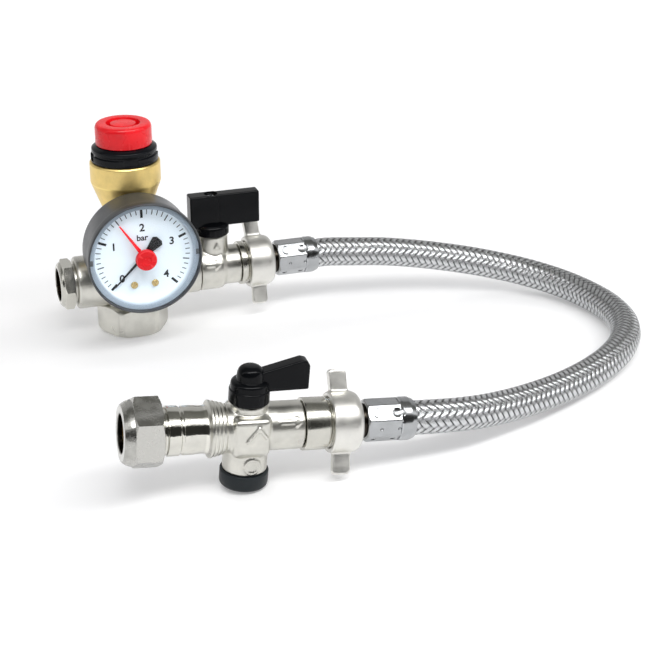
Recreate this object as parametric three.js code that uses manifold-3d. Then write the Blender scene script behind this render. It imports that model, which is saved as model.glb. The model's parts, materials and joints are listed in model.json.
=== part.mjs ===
// A heating system's filling loop: a manifold with a pressure gauge, a relief valve and an
// isolating valve, joined by a braided hose to a double check valve with a second isolating valve.
// Millimetres, +Z up. The rear pipe runs along X, and Y points away from the viewer.

import * as THREE from "three";
import { mergeVertices } from "three/addons/utils/BufferGeometryUtils.js";
import Module from "manifold-3d";

const wasm = await Module();
wasm.setup();

// Driving dimensions

// Clearances
const FIT = 0.3; // between two round faces that slide or screw together
const SEAM = 0.3; // between two flat faces that touch

// Pipes and heights
const PIPE_D = 15.3; // bore that a 15 mm copper pipe enters
const PIPE_HEIGHT = 25.25; // rear pipe axis above the socket's face
const WATERWAY_D = 9;

// Manifold
const SOCKET_AF = 30; // hexagon of the socket that the part stands on
const SOCKET_ROUND_D = 33.4; // its corners are turned down to this
const SOCKET_HEIGHT = 14;
const SOCKET_BORE_D = 24;
const SOCKET_BORE_DEPTH = 12;
const BODY_D = 25;
const TOP_BOSS_D = 26;
const TOP_BOSS_HEIGHT = 7.5; // plain part, over the cone that widens to it
const TOP_BOSS_Z = 57.5;
const LEFT_BOSS_D = 24.6;
const LEFT_BOSS_REACH = 26.8;
const RIGHT_BOSS_D = 22.6;
const GAUGE_BOSS_D = 17;
const GAUGE_BOSS_REACH = 14.9;

// Rear compression joint
const REAR_NUT_AF = 20.8;
const REAR_NUT_LENGTH = 6.6;
const REAR_NUT_CROWN = 1.6; // domed end before the hexagon
const REAR_THREAD_D = 18;
const REAR_NUT_START = 34.4; // left of the manifold's axis
const REAR_PIPE_STOP = 17;

// Pressure gauge
const GAUGE_Z = 47.5;
const GAUGE_RIM_D = 52;
const GAUGE_BACK_D = 50;
const GAUGE_DEPTH = 21.6;
const GAUGE_WALL = 1.6;
const GAUGE_LENS_T = 1.5;
const GAUGE_LENS_INSET = 0.9;
const GAUGE_DIAL_DROP = 3.6; // lens to dial
const GAUGE_DIAL_T = 0.7;
const NEEDLE_REACH = 19.5;
const POINTER_REACH = 19;
const HUB_D = 9.6;
const HUB_T = 2.6;
const ZERO_ANGLE = 225; // clock angle of 0 on the dial, from the top, turning right
const SWEEP = 270; // scale from 0 to its end
const SCALE_END = 4;
const POINTER_READING = 1.5;
const GAUGE_STEM_D = 9;
const NEEDLE_TAIL = 10.4;
const NEEDLE_TAIL_WIDTH = 5.8;
const NEEDLE_BOSS_D = 3.4;
const BOURDON_RADIUS = 18.4;
const BOURDON_WIDTH = 3.8;
const BOURDON_T = 2;

// Relief valve
const RELIEF_D = 32.2;
const RELIEF_NECK_D = 23;
const RELIEF_NECK_LENGTH = 3.2; // from the manifold's top to the cone
const RELIEF_SEAT_DROP = 8; // from the cone's top edge down to the seat
const RELIEF_CONE_LENGTH = 12;
const RELIEF_BARREL_LENGTH = 10;
const RELIEF_SPIGOT_D = 19;
const RELIEF_SPIGOT_LENGTH = 5;
const RELIEF_CHAMBER_D = 21;
const RELIEF_LEDGE_DROP = 1; // from the cone's top edge down to the ledge under the diaphragm
const SEAT_D = 12.5;
const OUTLET_D = 17;
const OUTLET_BORE_D = 12.6;
const OUTLET_REACH = 22.5;
const COLLAR_D = 30.6;
const COLLAR_UPPER_D = 29.8;
const COLLAR_GROOVE_D = 28.8;
const COLLAR_HEIGHT = 7.3;
const COLLAR_WALL = 3.6;
const COLLAR_TOP_T = 2;
const COLLAR_WINDOW = 6.4; // width of each of its four pockets
const KNOB_D = 25.7;
const KNOB_HEIGHT = 9.6;
const KNOB_BOSS_D = 11.6;
const KNOB_GROOVE_DEPTH = 3;
const KNOB_GROOVE_D = 15.4;
const SPINDLE_D = 4.8;
const SPRING_D = 15;
const SPRING_WIRE_D = 2;
const SPRING_TURNS = 3.5;
const DIAPHRAGM_T = 1.2;
const DISC_T = 3;

// Ball valves, front and rear alike inside
const BALL_D = 13.6;
const STEM_D = 6;
const STEM_SQUARE = 4.2;
const BALL_SLOT_DEPTH = 1.9;
const ORING_T = 1.1;

// Rear valve
const REAR_VALVE_X = 39.8;
const REAR_VALVE_D = 21.8;
const REAR_VALVE_START = 32;
const REAR_SHOULDER = 3.9; // from the stem to the end of the thick part
const REAR_BARREL_D = 18.7;
const REAR_BARREL_END = 12.1; // from the stem to the end of the barrel
const REAR_FLANGE_D = 20.8;
const REAR_FLANGE_T = 2.3;
const REAR_STEM_BOSS_D = 14.8;
const REAR_STEM_BOSS_TOP = 16.9; // above the pipe axis
const REAR_HUB_D = 16.4;
const REAR_HUB_T = 4;
const REAR_LEVER_HEIGHT = 15.4;
const REAR_LEVER_TAIL = 10.8;
const REAR_LEVER_REACH = 22.9;
const REAR_LEVER_T = 6.4;
const REAR_LEVER_ROOT_T = 7.6;
const REAR_LEVER_STEP = 3; // where the thick root ends, from the stem
const LEVER_SCREW_D = 5.4;
const LEVER_SCREW_RECESS = 1;

// Front valve, with its place on the surface
const VALVE_SPACING = 162.6; // from the rear pipe's axis to the front valve's stem
const FRONT_X = 10.1;
const FRONT_YAW = -2.6; // degrees about Z
const FRONT_DIP = 4.85; // degrees, right end lower
const FRONT_NUT_AF = 25.2;
const FRONT_NUT_LENGTH = 15;
const FRONT_NUT_CROWN = 4;
const FRONT_NUT_START = 49.2; // left of the stem
const FRONT_THREAD_D = 20.6;
const FRONT_THREAD_END = 29.6;
const FRONT_PIPE_STOP = 31.5;
const NECK_D = 19.2;
const NECK_WAIST_D = 18.3;
const RIDGE_D = 22.8;
const RIDGES = 4;
const RIDGE_FROM = 15.9; // crest of the leftmost ridge, left of the stem
const RIDGE_PITCH = 1.83;
const RIDGE_STEP = 0.9; // each ridge is this much smaller than the one on its left
const BLOCK_WIDTH = 14.8;
const BLOCK_DEPTH = 21.6;
const BLOCK_TOP = 7.8; // above the pipe axis
const BLOCK_BOTTOM = 9;
const FRONT_BARREL_D = 19.2;
const FRONT_BARREL_END = 21.2;
const FRONT_RING_D = 20.9;
const FRONT_RING_T = 9.2;
const FRONT_STEM_BOSS_D = 15;
const FRONT_STEM_BOSS_TOP = 11;
const FRONT_HUB_D = 16;
const FRONT_HUB_T = 8.8;
const DOME_D = 10.4;
const DOME_TOP = 26.3; // above the pipe axis
const BLADE_REACH = 22.8;
const BLADE_T = 6;
const BLADE_BOTTOM = 15.6;
const BLADE_ROOT_TOP = 24;
const BLADE_TIP_TOP = 28.4;

// Drain port under the front valve
const DRAIN_BOSS_D = 17.6;
const DRAIN_BOSS_LENGTH = 17.3; // below the pipe axis
const DRAIN_THREAD_D = 15;
const DRAIN_BORE_D = 8;
const CAP_D = 19.2;
const CAP_HEIGHT = 6.5;
const CAP_END_T = 1.6;
const CAP_EDGE = 1.4; // rounding of its lower edge
const CAP_SEAL_T = 1.2;

// Double check valve inside the front neck
const CHECK_D = 13.8;
const CHECK_LENGTH = 8.2;
const CHECK_WALL = 1.4;
const CHECK_LIFT = 1.8;
const POPPET_D = 9.2;
const POPPET_STEM_D = 1.8;

// Hose unions, one at each end of the hose
const UNION_THREAD_D = 19.6;
const UNION_THREAD_LENGTH = 8.1;
const WING_D = 24.2;
const WING_LENGTH = 12.6;
const WING_START = 2.2; // from the tailpiece's flange to the wing nut
const WING_FLANGE_T = 2.2;
const EAR_REACH = 20.7;
const EAR_WIDTH = 7.6;
const EAR_T = 4;
const EAR_FROM = 0.9; // from the wing nut's left face
const WING_TURN = -25; // degrees
const WASHER_T = 1.3;
const TAIL_FLANGE_D = 19.2;
const TAIL_FLANGE_T = 1.7;
const TAIL_NECK_D = 13.2;
const TAIL_NECK_LENGTH = 2; // seen between the wing nut and the ferrule
const BARB_D = 8.8;
const FERRULE_LENGTH = 20.3;
const FERRULE_SIDES = 8; // flats that the press leaves round it
const FERRULE_AF = 16;
const FERRULE_ROUND_D = 17;
const FERRULE_COLLAR_D = 17.5;
const FERRULE_FLATS = 14.5; // length of the pressed flats
const FERRULE_LIP = 1.6;

// Braided hose
const HOSE_D = 14;
const HOSE_BORE_D = 10;

// Facets of a round form
const FINE = 26;
const MEDIUM = 16;
const SMALL = 12;
const TINY = 8;

// Turned, extruded and cut solids

const degrees = THREE.MathUtils.degToRad;

function solid(geometry) {
  const bare = geometry.index ? geometry.toNonIndexed() : geometry.clone();
  bare.deleteAttribute("normal");
  bare.deleteAttribute("uv");
  const merged = mergeVertices(bare, 1e-4);
  const made = new wasm.Manifold(
    new wasm.Mesh({
      numProp: 3,
      vertProperties: new Float32Array(merged.attributes.position.array),
      triVerts: new Uint32Array(merged.index.array),
    }),
  );
  return made;
}

// A form turned about Z from [radius, height] points. A profile off the axis closes on itself.
function turned(profile, facets) {
  const closed = profile[0][0] > 0 || profile.at(-1)[0] > 0;
  const points = profile.map(([r, z]) => new THREE.Vector2(r, z));
  if (closed) points.push(points[0].clone());
  const geometry = new THREE.LatheGeometry(points, facets).rotateX(Math.PI / 2);
  const area = points.reduce((sum, p, i) => {
    const q = points[(i + 1) % points.length];
    return sum + p.x * q.y - q.x * p.y;
  }, 0);
  if (area < 0) flip(geometry);
  return solid(geometry);
}

function flip(geometry) {
  const order = geometry.index.array;
  for (let i = 0; i < order.length; i += 3) {
    [order[i + 1], order[i + 2]] = [order[i + 2], order[i + 1]];
  }
}

function rod(diameter, from, to, facets = MEDIUM) {
  const r = diameter / 2;
  return turned([[0, from], [r, from], [r, to], [0, to]], facets);
}

function tube(outer, inner, from, to, facets = MEDIUM) {
  const [r, b] = [outer / 2, inner / 2];
  return turned([[b, from], [r, from], [r, to], [b, to]], facets);
}

function box(x0, x1, y0, y1, z0, z1) {
  const geometry = new THREE.BoxGeometry(x1 - x0, y1 - y0, z1 - z0);
  geometry.translate((x0 + x1) / 2, (y0 + y1) / 2, (z0 + z1) / 2);
  return solid(geometry);
}

// A bar along Z with flat sides. With no turn, two of its flats face +Y and -Y.
function flatSided(sides, acrossFlats, from, to, turn = 0) {
  const corner = acrossFlats / 2 / Math.cos(Math.PI / sides);
  const geometry = new THREE.CylinderGeometry(corner, corner, to - from, sides);
  geometry.rotateX(Math.PI / 2).rotateZ(Math.PI / sides + degrees(turn)).translate(0, 0, (from + to) / 2);
  return solid(geometry);
}

function hexagon(acrossFlats, from, to, turn = 0) {
  return flatSided(6, acrossFlats, from, to, turn);
}

function extruded(outline, depth) {
  const shape = new THREE.Shape(outline.map(([x, y]) => new THREE.Vector2(x, y)));
  return solid(new THREE.ExtrudeGeometry(shape, { depth, bevelEnabled: false }));
}

function joined(...solids) {
  return solids.reduce((sum, one) => sum.add(one));
}

function cut(body, ...tools) {
  return tools.reduce((left, tool) => left.subtract(tool), body);
}

// Z becomes +X, or +Y, or -Y
const alongX = (body) => body.rotate([0, 90, 0]);
const alongY = (body) => body.rotate([-90, 0, 0]);
const towardsViewer = (body) => body.rotate([90, 0, 0]);

// A helix of round wire about Z, with its ends ground to flat planes by the two heights.
function helixSpring(meanD, wireD, turns, from, to, stepsPerTurn) {
  const rise = to - from - wireD;
  class Helix extends THREE.Curve {
    getPoint(t, target = new THREE.Vector3()) {
      const angle = t * turns * 2 * Math.PI;
      const z = from + wireD / 2 + t * rise;
      return target.set((meanD / 2) * Math.cos(angle), (meanD / 2) * Math.sin(angle), z);
    }
  }
  return sweep(new Helix(), wireD, 0, Math.round(turns * stepsPerTurn), 5);
}

// A round section, bored or solid, drawn along a path.
function sweep(path, diameter, bore, steps, sides) {
  const circle = (d, count) =>
    Array.from({ length: count }, (_, i) => {
      const angle = (2 * Math.PI * i) / count;
      return new THREE.Vector2((d / 2) * Math.cos(angle), (d / 2) * Math.sin(angle));
    });
  const section = new THREE.Shape(circle(diameter, sides));
  if (bore > 0) section.holes.push(new THREE.Path(circle(bore, sides)));
  return solid(new THREE.ExtrudeGeometry(section, { extrudePath: path, steps, bevelEnabled: false }));
}

// Finishes

const finish = (color, roughness, metalness) =>
  new THREE.MeshStandardMaterial({ color, roughness, metalness });
const NICKEL = finish(0xc9c8c0, 0.32, 1);
const BRASS = finish(0xc7a95a, 0.38, 1);
const STEEL = finish(0xc4c8ca, 0.25, 1);
const CHROME = finish(0xdfe3e6, 0.12, 1);
const BLACK_PLASTIC = finish(0x17181a, 0.42, 0);
const GREY_PLASTIC = finish(0x3f4447, 0.5, 0);
const RED_PLASTIC = finish(0xdf1f27, 0.4, 0);
const WHITE_PLASTIC = finish(0xe8eef2, 0.5, 0);
const WHITE_PAINT = finish(0xe9f2f8, 0.55, 0);
const BLACK_PAINT = finish(0x101112, 0.45, 0);
const CLEAR = finish(0xeaf4f8, 0.08, 0);
const RUBBER = finish(0x1c1c1d, 0.8, 0);
const BRAID = finish(0xaeb2b4, 0.35, 1);
CLEAR.transparent = true;
CLEAR.opacity = 0.25;

const assembly = new THREE.Group();
const front = new THREE.Group();

function put(parent, name, body, material, position = [0, 0, 0]) {
  const { vertProperties, triVerts, numProp } = body.getMesh();
  const geometry = new THREE.BufferGeometry();
  const points = new Float32Array((vertProperties.length / numProp) * 3);
  for (let i = 0, k = 0; i < vertProperties.length; i += numProp, k += 3) {
    points.set(vertProperties.subarray(i, i + 3), k);
  }
  geometry.setAttribute("position", new THREE.BufferAttribute(points, 3));
  geometry.setIndex(new THREE.BufferAttribute(new Uint32Array(triVerts), 1));
  geometry.computeVertexNormals();
  const mesh = new THREE.Mesh(geometry, material);
  mesh.name = name;
  mesh.position.set(...position);
  parent.add(mesh);
  return mesh;
}

// Compression joint: nut and olive around the mouth of a spigot that points to -X.
// mouth is where the spigot ends, face where the nut's outer face lies.

const OLIVE_D = PIPE_D + 1.9;
const MOUTH_CONE = 3.2; // length of the cone that the olive is pressed into
const NUT_FACE_T = 1.8;
const MOUTH_INSET = NUT_FACE_T + 1.4; // from the nut's face to the mouth

function spigotMouth(mouth) {
  const wide = OLIVE_D / 2 + FIT;
  const narrow = PIPE_D / 2;
  const deep = mouth + MOUTH_CONE;
  return turned([[0, mouth - 1], [wide, mouth - 1], [wide, mouth], [narrow, deep], [0, deep]], MEDIUM);
}

function olive(mouth) {
  const inner = PIPE_D / 2 + 0.05;
  const end = inner + 0.2;
  const crest = OLIVE_D / 2;
  const start = mouth - MOUTH_INSET + NUT_FACE_T + SEAM;
  const tip = mouth + MOUTH_CONE / 2;
  const land = 0.25; // half the length of its widest part
  return turned(
    [[inner, start], [end, start], [crest, mouth - land], [crest, mouth + land], [end, tip], [inner, tip]],
    MEDIUM,
  );
}

function compressionNut(face, length, crown, acrossFlats, threadD, turn) {
  const corner = acrossFlats / Math.sqrt(3);
  const flat = acrossFlats / 2;
  const end = face + length;
  const chamfer = (corner - flat) * 0.8;
  const round = flat * 0.98;
  const outside = turned(
    [[0, face], [flat * 0.87, face], [round, face + crown / 2], [flat + FIT, face + crown],
      [corner, face + crown + 0.4], [corner, end - chamfer], [round, end], [0, end]],
    FINE,
  );
  const hexBar = hexagon(acrossFlats, face + crown, end + 1, turn);
  const crownBar = rod(acrossFlats + 1, face - 1, face + crown, FINE);
  const threadBore = threadD / 2 + FIT;
  const cone = face + NUT_FACE_T;
  const pipe = PIPE_D / 2;
  const coneEnd = cone + 0.8;
  const inside = turned(
    [[0, face - 1], [pipe, face - 1], [pipe, cone], [pipe + 0.5, cone], [OLIVE_D / 2 + FIT, coneEnd],
      [threadBore, coneEnd], [threadBore, end + 1], [0, end + 1]],
    MEDIUM,
  );
  return cut(outside.intersect(joined(hexBar, crownBar)), inside);
}

// Ball valve parts. The flow runs along X and the stem up Z, with the ball's centre at the origin.

const CAVITY_D = BALL_D + 1;
const SEAT_FACE = BALL_D / 2 + 1.4; // from the ball's centre to the back of a seat
const SEAT_HOLLOW = BALL_D / 2 + FIT; // radius of the hollow that takes the ball
const SEAT_OUTER = CAVITY_D / 2 - FIT;
const SEAT_LIP = SEAT_OUTER - 0.4; // radius where that hollow meets the front face
const SEAT_FRONT = Math.sqrt(SEAT_HOLLOW ** 2 - SEAT_LIP ** 2);
const STEM_BOTTOM = BALL_D / 2 - BALL_SLOT_DEPTH + SEAM;
const SLOT_WIDTH = 3.4;
const TANG_WIDTH = SLOT_WIDTH - 2 * FIT;
const STEM_NECK_D = 4.4; // in the groove that holds the o-ring

function ball() {
  const r = BALL_D / 2;
  const sphere = solid(new THREE.SphereGeometry(r, MEDIUM, MEDIUM / 2).rotateX(Math.PI / 2));
  const bore = alongX(rod(WATERWAY_D, -r - 1, r + 1, SMALL));
  const slot = box(-r, r, -SLOT_WIDTH / 2, SLOT_WIDTH / 2, r - BALL_SLOT_DEPTH, r + 1);
  return cut(sphere, bore, slot);
}

function seatRing(side) {
  const inner = WATERWAY_D / 2 + 0.1;
  const profile = [[inner, SEAT_FACE]];
  const steps = 3;
  for (let i = 0; i <= steps; i++) {
    const radius = inner + ((SEAT_LIP - inner) * i) / steps;
    profile.push([radius, Math.sqrt(SEAT_HOLLOW ** 2 - radius ** 2)]);
  }
  profile.push([SEAT_OUTER, SEAT_FRONT], [SEAT_OUTER, SEAT_FACE]);
  const ring = alongX(turned(profile, SMALL));
  return side > 0 ? ring : ring.rotate([0, 0, 180]);
}

function stem(orings, squareFrom, squareTo) {
  const r = STEM_D / 2;
  const groove = STEM_NECK_D / 2;
  const foot = BALL_D / 2 + SEAM;
  const grooveTop = orings + ORING_T + FIT;
  const shaft = turned(
    [[0, foot], [r, foot], [r, orings], [groove, orings], [groove, grooveTop], [r, grooveTop],
      [r, squareFrom], [0, squareFrom]],
    SMALL,
  );
  const half = STEM_SQUARE / 2;
  const square = box(-half, half, -half, half, squareFrom - 0.5, squareTo);
  const reach = Math.sqrt((SEAT_FRONT - FIT) ** 2 - (TANG_WIDTH / 2) ** 2); // clears the seats as it turns
  const tang = box(-reach, reach, -TANG_WIDTH / 2, TANG_WIDTH / 2, STEM_BOTTOM, BALL_D / 2 + 1);
  return joined(shaft, square, tang);
}

function oring(from) {
  const inner = STEM_NECK_D / 2 + FIT / 2;
  const outer = STEM_D / 2 + FIT / 2;
  const [z0, z1] = [from + FIT / 2, from + FIT / 2 + ORING_T];
  const half = (z0 + z1) / 2;
  const crown = 0.3; // narrower at its top and bottom than in the middle
  return turned(
    [[inner, half], [inner + crown, z0], [outer - crown, z0], [outer, half], [outer - crown, z1],
      [inner + crown, z1]],
    SMALL,
  );
}

// The hollow of a valve body: ball cavity open to the right, stem hole up.
function valveHollow(cavityEnd, stemTop) {
  return joined(
    alongX(rod(CAVITY_D, -SEAT_FACE - SEAM, cavityEnd, MEDIUM)),
    rod(STEM_D + 2 * FIT, 0, stemTop, SMALL),
  );
}

// Tailpiece: screwed into the valve's right end, it holds the seat and carries the wing nut's thread.
function tailpiece(flangeD, flangeFrom, flangeT) {
  const start = SEAT_FACE + SEAM;
  const inner = CAVITY_D / 2 - FIT;
  const thread = UNION_THREAD_D / 2;
  const flangeEnd = flangeFrom + flangeT;
  const end = flangeEnd + UNION_THREAD_LENGTH;
  const bore = WATERWAY_D / 2;
  const chamfer = 0.8;
  return alongX(turned(
    [[bore, start], [inner, start], [inner, flangeFrom], [flangeD / 2, flangeFrom], [flangeD / 2, flangeEnd],
      [thread, flangeEnd], [thread, end - chamfer], [thread - chamfer, end], [bore, end]],
    MEDIUM,
  ));
}

// Hose union, from x where the tailpiece's flange ends: wing nut, washer, hose tail and ferrule.

const TAIL_FACE = UNION_THREAD_LENGTH + SEAM + WASHER_T + SEAM;
const WING_FLANGE_FROM = TAIL_FACE + TAIL_FLANGE_T + SEAM;
const WING_END = WING_FLANGE_FROM + WING_FLANGE_T;
const FERRULE_FROM = WING_END + TAIL_NECK_LENGTH;
const FERRULE_END = FERRULE_FROM + FERRULE_LENGTH;
const BARB_END = FERRULE_END - 2;
const HOSE_INSIDE = FERRULE_FROM + FERRULE_LIP + SEAM;

function wingNut() {
  const start = WING_END - WING_LENGTH;
  const r = WING_D / 2;
  const threadBore = UNION_THREAD_D / 2 + FIT;
  const tailHole = TAIL_NECK_D / 2 + FIT;
  const barrel = alongX(turned(
    [[threadBore, start], [r, start], [r, WING_END - 3], [r - 1, WING_END - 0.9], [r - 2.6, WING_END],
      [tailHole, WING_END], [tailHole, WING_FLANGE_FROM], [threadBore, WING_FLANGE_FROM]],
    MEDIUM,
  ));
  const foot = r - 1.2;
  const taper = 0.9;
  const x0 = start + EAR_FROM;
  const x1 = x0 + EAR_WIDTH;
  const outline = [[x0 + taper, foot], [x1 + 0.3, foot], [x1 - 0.3, EAR_REACH - taper - 0.5],
    [x1 - taper - 0.5, EAR_REACH], [x0 + taper, EAR_REACH], [x0, EAR_REACH - taper]];
  const blade = extruded(outline, EAR_T).translate([0, 0, -EAR_T / 2]).rotate([90, 0, 0]);
  const ears = [blade, blade.rotate([180, 0, 0])];
  return joined(barrel, ...ears);
}

function washer() {
  const from = UNION_THREAD_LENGTH + SEAM;
  return alongX(tube(TAIL_FLANGE_D - 0.6, WATERWAY_D + 1, from, from + WASHER_T, SMALL));
}

function hoseTail() {
  const bore = BARB_D / 2 - 1.4;
  const flange = TAIL_FLANGE_D / 2;
  const neck = TAIL_NECK_D / 2;
  const barb = BARB_D / 2;
  const shoulder = TAIL_FACE + TAIL_FLANGE_T;
  const neckEnd = FERRULE_FROM + FERRULE_LIP;
  const profile = [[bore, TAIL_FACE], [flange, TAIL_FACE], [flange, shoulder], [neck, shoulder],
    [neck, neckEnd], [barb - 0.5, neckEnd]];
  const barbs = 3;
  const pitch = (BARB_END - neckEnd - 1) / barbs;
  for (let i = 0; i < barbs; i++) {
    const x = neckEnd + 1 + i * pitch;
    profile.push([barb - 0.5, x], [barb, x + 0.2]);
  }
  profile.push([barb - 0.5, BARB_END], [bore, BARB_END]);
  return alongX(turned(profile, SMALL));
}

function ferrule() {
  const inner = HOSE_D / 2 + FIT;
  const lip = TAIL_NECK_D / 2 + FIT;
  const round = FERRULE_ROUND_D / 2;
  const collar = FERRULE_COLLAR_D / 2;
  const flatsEnd = FERRULE_FROM + FERRULE_FLATS;
  const outside = alongX(turned(
    [[0, FERRULE_FROM], [round - 0.5, FERRULE_FROM], [round, FERRULE_FROM + 0.8], [round, flatsEnd],
      [collar, flatsEnd + 0.6], [collar, FERRULE_END - 2.2], [inner + 0.7, FERRULE_END], [0, FERRULE_END]],
    MEDIUM,
  ));
  const pressed = alongX(joined(
    flatSided(FERRULE_SIDES, FERRULE_AF, FERRULE_FROM - 1, flatsEnd),
    rod(FERRULE_COLLAR_D + 1, flatsEnd, FERRULE_END + 1),
  ));
  const lipEnd = FERRULE_FROM + FERRULE_LIP;
  const hollow = alongX(turned(
    [[0, FERRULE_FROM - 1], [lip, FERRULE_FROM - 1], [lip, lipEnd], [inner, lipEnd], [inner, FERRULE_END + 1],
      [0, FERRULE_END + 1]],
    MEDIUM,
  ));
  return cut(outside.intersect(pressed), hollow);
}

function union(parent, side, at, turn) {
  const [x, y, z] = at;
  put(parent, `${side}_wing_nut`, wingNut().rotate([turn, 0, 0]), NICKEL, [x, y, z]);
  put(parent, `${side}_washer`, washer(), RUBBER, [x, y, z]);
  put(parent, `${side}_hose_tail`, hoseTail(), BRASS, [x, y, z]);
  put(parent, `${side}_ferrule`, ferrule(), STEEL, [x, y, z]);
}

// Manifold

function manifold() {
  const corner = SOCKET_ROUND_D / 2;
  const socket = hexagon(SOCKET_AF, 0, SOCKET_HEIGHT).intersect(turned(
    [[0, 0], [corner - 1.6, 0], [corner, 2], [corner, SOCKET_HEIGHT - 1.5], [corner - 2.5, SOCKET_HEIGHT],
      [0, SOCKET_HEIGHT]],
    FINE,
  ));
  const bossFrom = TOP_BOSS_Z - TOP_BOSS_HEIGHT;
  const column = rod(BODY_D, SOCKET_HEIGHT - 1, bossFrom + 1);
  const topBoss = turned(
    [[0, bossFrom - 1.5], [BODY_D / 2 - 0.2, bossFrom - 1.5], [TOP_BOSS_D / 2, bossFrom],
      [TOP_BOSS_D / 2, TOP_BOSS_Z], [0, TOP_BOSS_Z]],
    MEDIUM,
  );
  const left = LEFT_BOSS_D / 2;
  const edge = 0.8;
  const leftBoss = alongX(turned(
    [[0, -LEFT_BOSS_REACH], [left - edge, -LEFT_BOSS_REACH], [left, -LEFT_BOSS_REACH + edge], [left, 0],
      [0, 0]],
    MEDIUM,
  )).translate([0, 0, PIPE_HEIGHT]);
  const spigot = alongX(rod(REAR_THREAD_D, REAR_MOUTH, 0)).translate([0, 0, PIPE_HEIGHT]);
  const rightEnd = REAR_VALVE_START - SEAM;
  const rightBoss = alongX(rod(RIGHT_BOSS_D, 0, rightEnd)).translate([0, 0, PIPE_HEIGHT]);
  const gaugeBoss = towardsViewer(rod(GAUGE_BOSS_D, 0, GAUGE_BOSS_REACH)).translate([0, 0, GAUGE_Z]);
  const outside = joined(socket, column, topBoss, leftBoss, spigot, rightBoss, gaugeBoss);

  const thread = SOCKET_BORE_D / 2;
  const socketBore = turned(
    [[0, -1], [thread + 1, -1], [thread + 1, 0], [thread, 1], [thread, SOCKET_BORE_DEPTH],
      [0, SOCKET_BORE_DEPTH]],
    MEDIUM,
  );
  const riser = rod(WATERWAY_D, SOCKET_BORE_DEPTH - 1, TOP_BOSS_Z, SMALL);
  const reliefFloor = TOP_BOSS_Z - RELIEF_SPIGOT_LENGTH - SEAM;
  const reliefBore = rod(RELIEF_SPIGOT_D + 2 * FIT, reliefFloor, TOP_BOSS_Z + 1, FINE);
  const pipeBore = alongX(joined(
    spigotMouth(REAR_MOUTH),
    rod(PIPE_D, REAR_MOUTH, -REAR_PIPE_STOP),
    rod(WATERWAY_D, -REAR_PIPE_STOP - 1, 0, SMALL),
  )).translate([0, 0, PIPE_HEIGHT]);
  const valveBore = alongX(joined(
    rod(WATERWAY_D, 0, rightEnd, SMALL),
    rod(REAR_SPIGOT_D + 2 * FIT, rightEnd - REAR_SPIGOT_LENGTH - SEAM, rightEnd + 1),
  )).translate([0, 0, PIPE_HEIGHT]);
  const gaugeBore = towardsViewer(joined(
    rod(GAUGE_STEM_D + 2 * FIT, GAUGE_BOSS_REACH - STEM_INSIDE - SEAM, GAUGE_BOSS_REACH + 1),
    rod(GAUGE_PORT_D, 0, GAUGE_BOSS_REACH, TINY),
  )).translate([0, 0, GAUGE_Z]);
  return cut(outside, socketBore, riser, reliefBore, pipeBore, valveBore, gaugeBore);
}

const GAUGE_PORT_D = 4;
const STEM_INSIDE = 4.5; // how far the gauge stem reaches into its boss
const REAR_MOUTH = -REAR_NUT_START + MOUTH_INSET;
const REAR_SPIGOT_D = CAVITY_D + 2.4;
const REAR_SPIGOT_LENGTH = 7;

put(assembly, "manifold_body", manifold(), NICKEL);
put(assembly, "rear_compression_nut",
  alongX(compressionNut(-REAR_NUT_START, REAR_NUT_LENGTH, REAR_NUT_CROWN, REAR_NUT_AF, REAR_THREAD_D, 90)),
  NICKEL, [0, 0, PIPE_HEIGHT]);
put(assembly, "rear_olive", alongX(olive(REAR_MOUTH)), BRASS, [0, 0, PIPE_HEIGHT]);

// Pressure gauge. Its parts are turned about the gauge's own axis, with +Z towards the viewer.

const CASE_BACK = GAUGE_BOSS_REACH + SEAM; // from the manifold's axis
const CASE_FRONT = CASE_BACK + GAUGE_DEPTH;
const LENS_FRONT = CASE_FRONT - GAUGE_LENS_INSET;
const LENS_BACK = LENS_FRONT - GAUGE_LENS_T;
const DIAL_FRONT = LENS_BACK - GAUGE_DIAL_DROP;
const DIAL_BACK = DIAL_FRONT - GAUGE_DIAL_T;
const RIM_BORE_D = GAUGE_RIM_D - 1.6;
const NEEDLE_T = 0.5;
const POINTER_AT = LENS_BACK - 1;
const NEEDLE_AT = DIAL_FRONT + 0.9;
const SHAFT_D = 1.2;
const SHAFT_HOLE_D = SHAFT_D + 2 * FIT;
const POINTER_POST_D = 2.6; // of the set pointer, through the lens
const PLATE_FRONT = DIAL_BACK - 2.5;
const PLATE_T = 1;
const PINION_D = 1.8;
const SECTOR_PIVOT_X = 8.6;
const SECTOR_DEPTH = 2.4; // under the movement's front plate
const SECTOR_T = 1;
const SECTOR_TAIL = 8.2;
const SECTOR_TAIL_WIDTH = 2.6;
const MOVEMENT_BLOCK = 11; // square block on the gauge stem, inside the case
const MOVEMENT_BLOCK_T = 4;

// Turns a clock angle, seen from the viewer, into a direction about the gauge's axis
const clock = (angle) => 90 - angle;

function gaugeCase() {
  const rim = GAUGE_RIM_D / 2;
  const back = GAUGE_BACK_D / 2;
  const inner = back - GAUGE_WALL;
  const ledge = LENS_BACK - SEAM;
  const stemHole = GAUGE_STEM_D / 2 + FIT;
  return turned(
    [[stemHole, CASE_BACK], [back - 2.5, CASE_BACK], [back, CASE_BACK + 2.5], [back, CASE_FRONT - 6],
      [rim, CASE_FRONT - 4.6], [rim, CASE_FRONT], [RIM_BORE_D / 2, CASE_FRONT], [RIM_BORE_D / 2, ledge],
      [inner, ledge], [inner, CASE_BACK + GAUGE_WALL], [stemHole, CASE_BACK + GAUGE_WALL]],
    FINE,
  );
}

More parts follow.
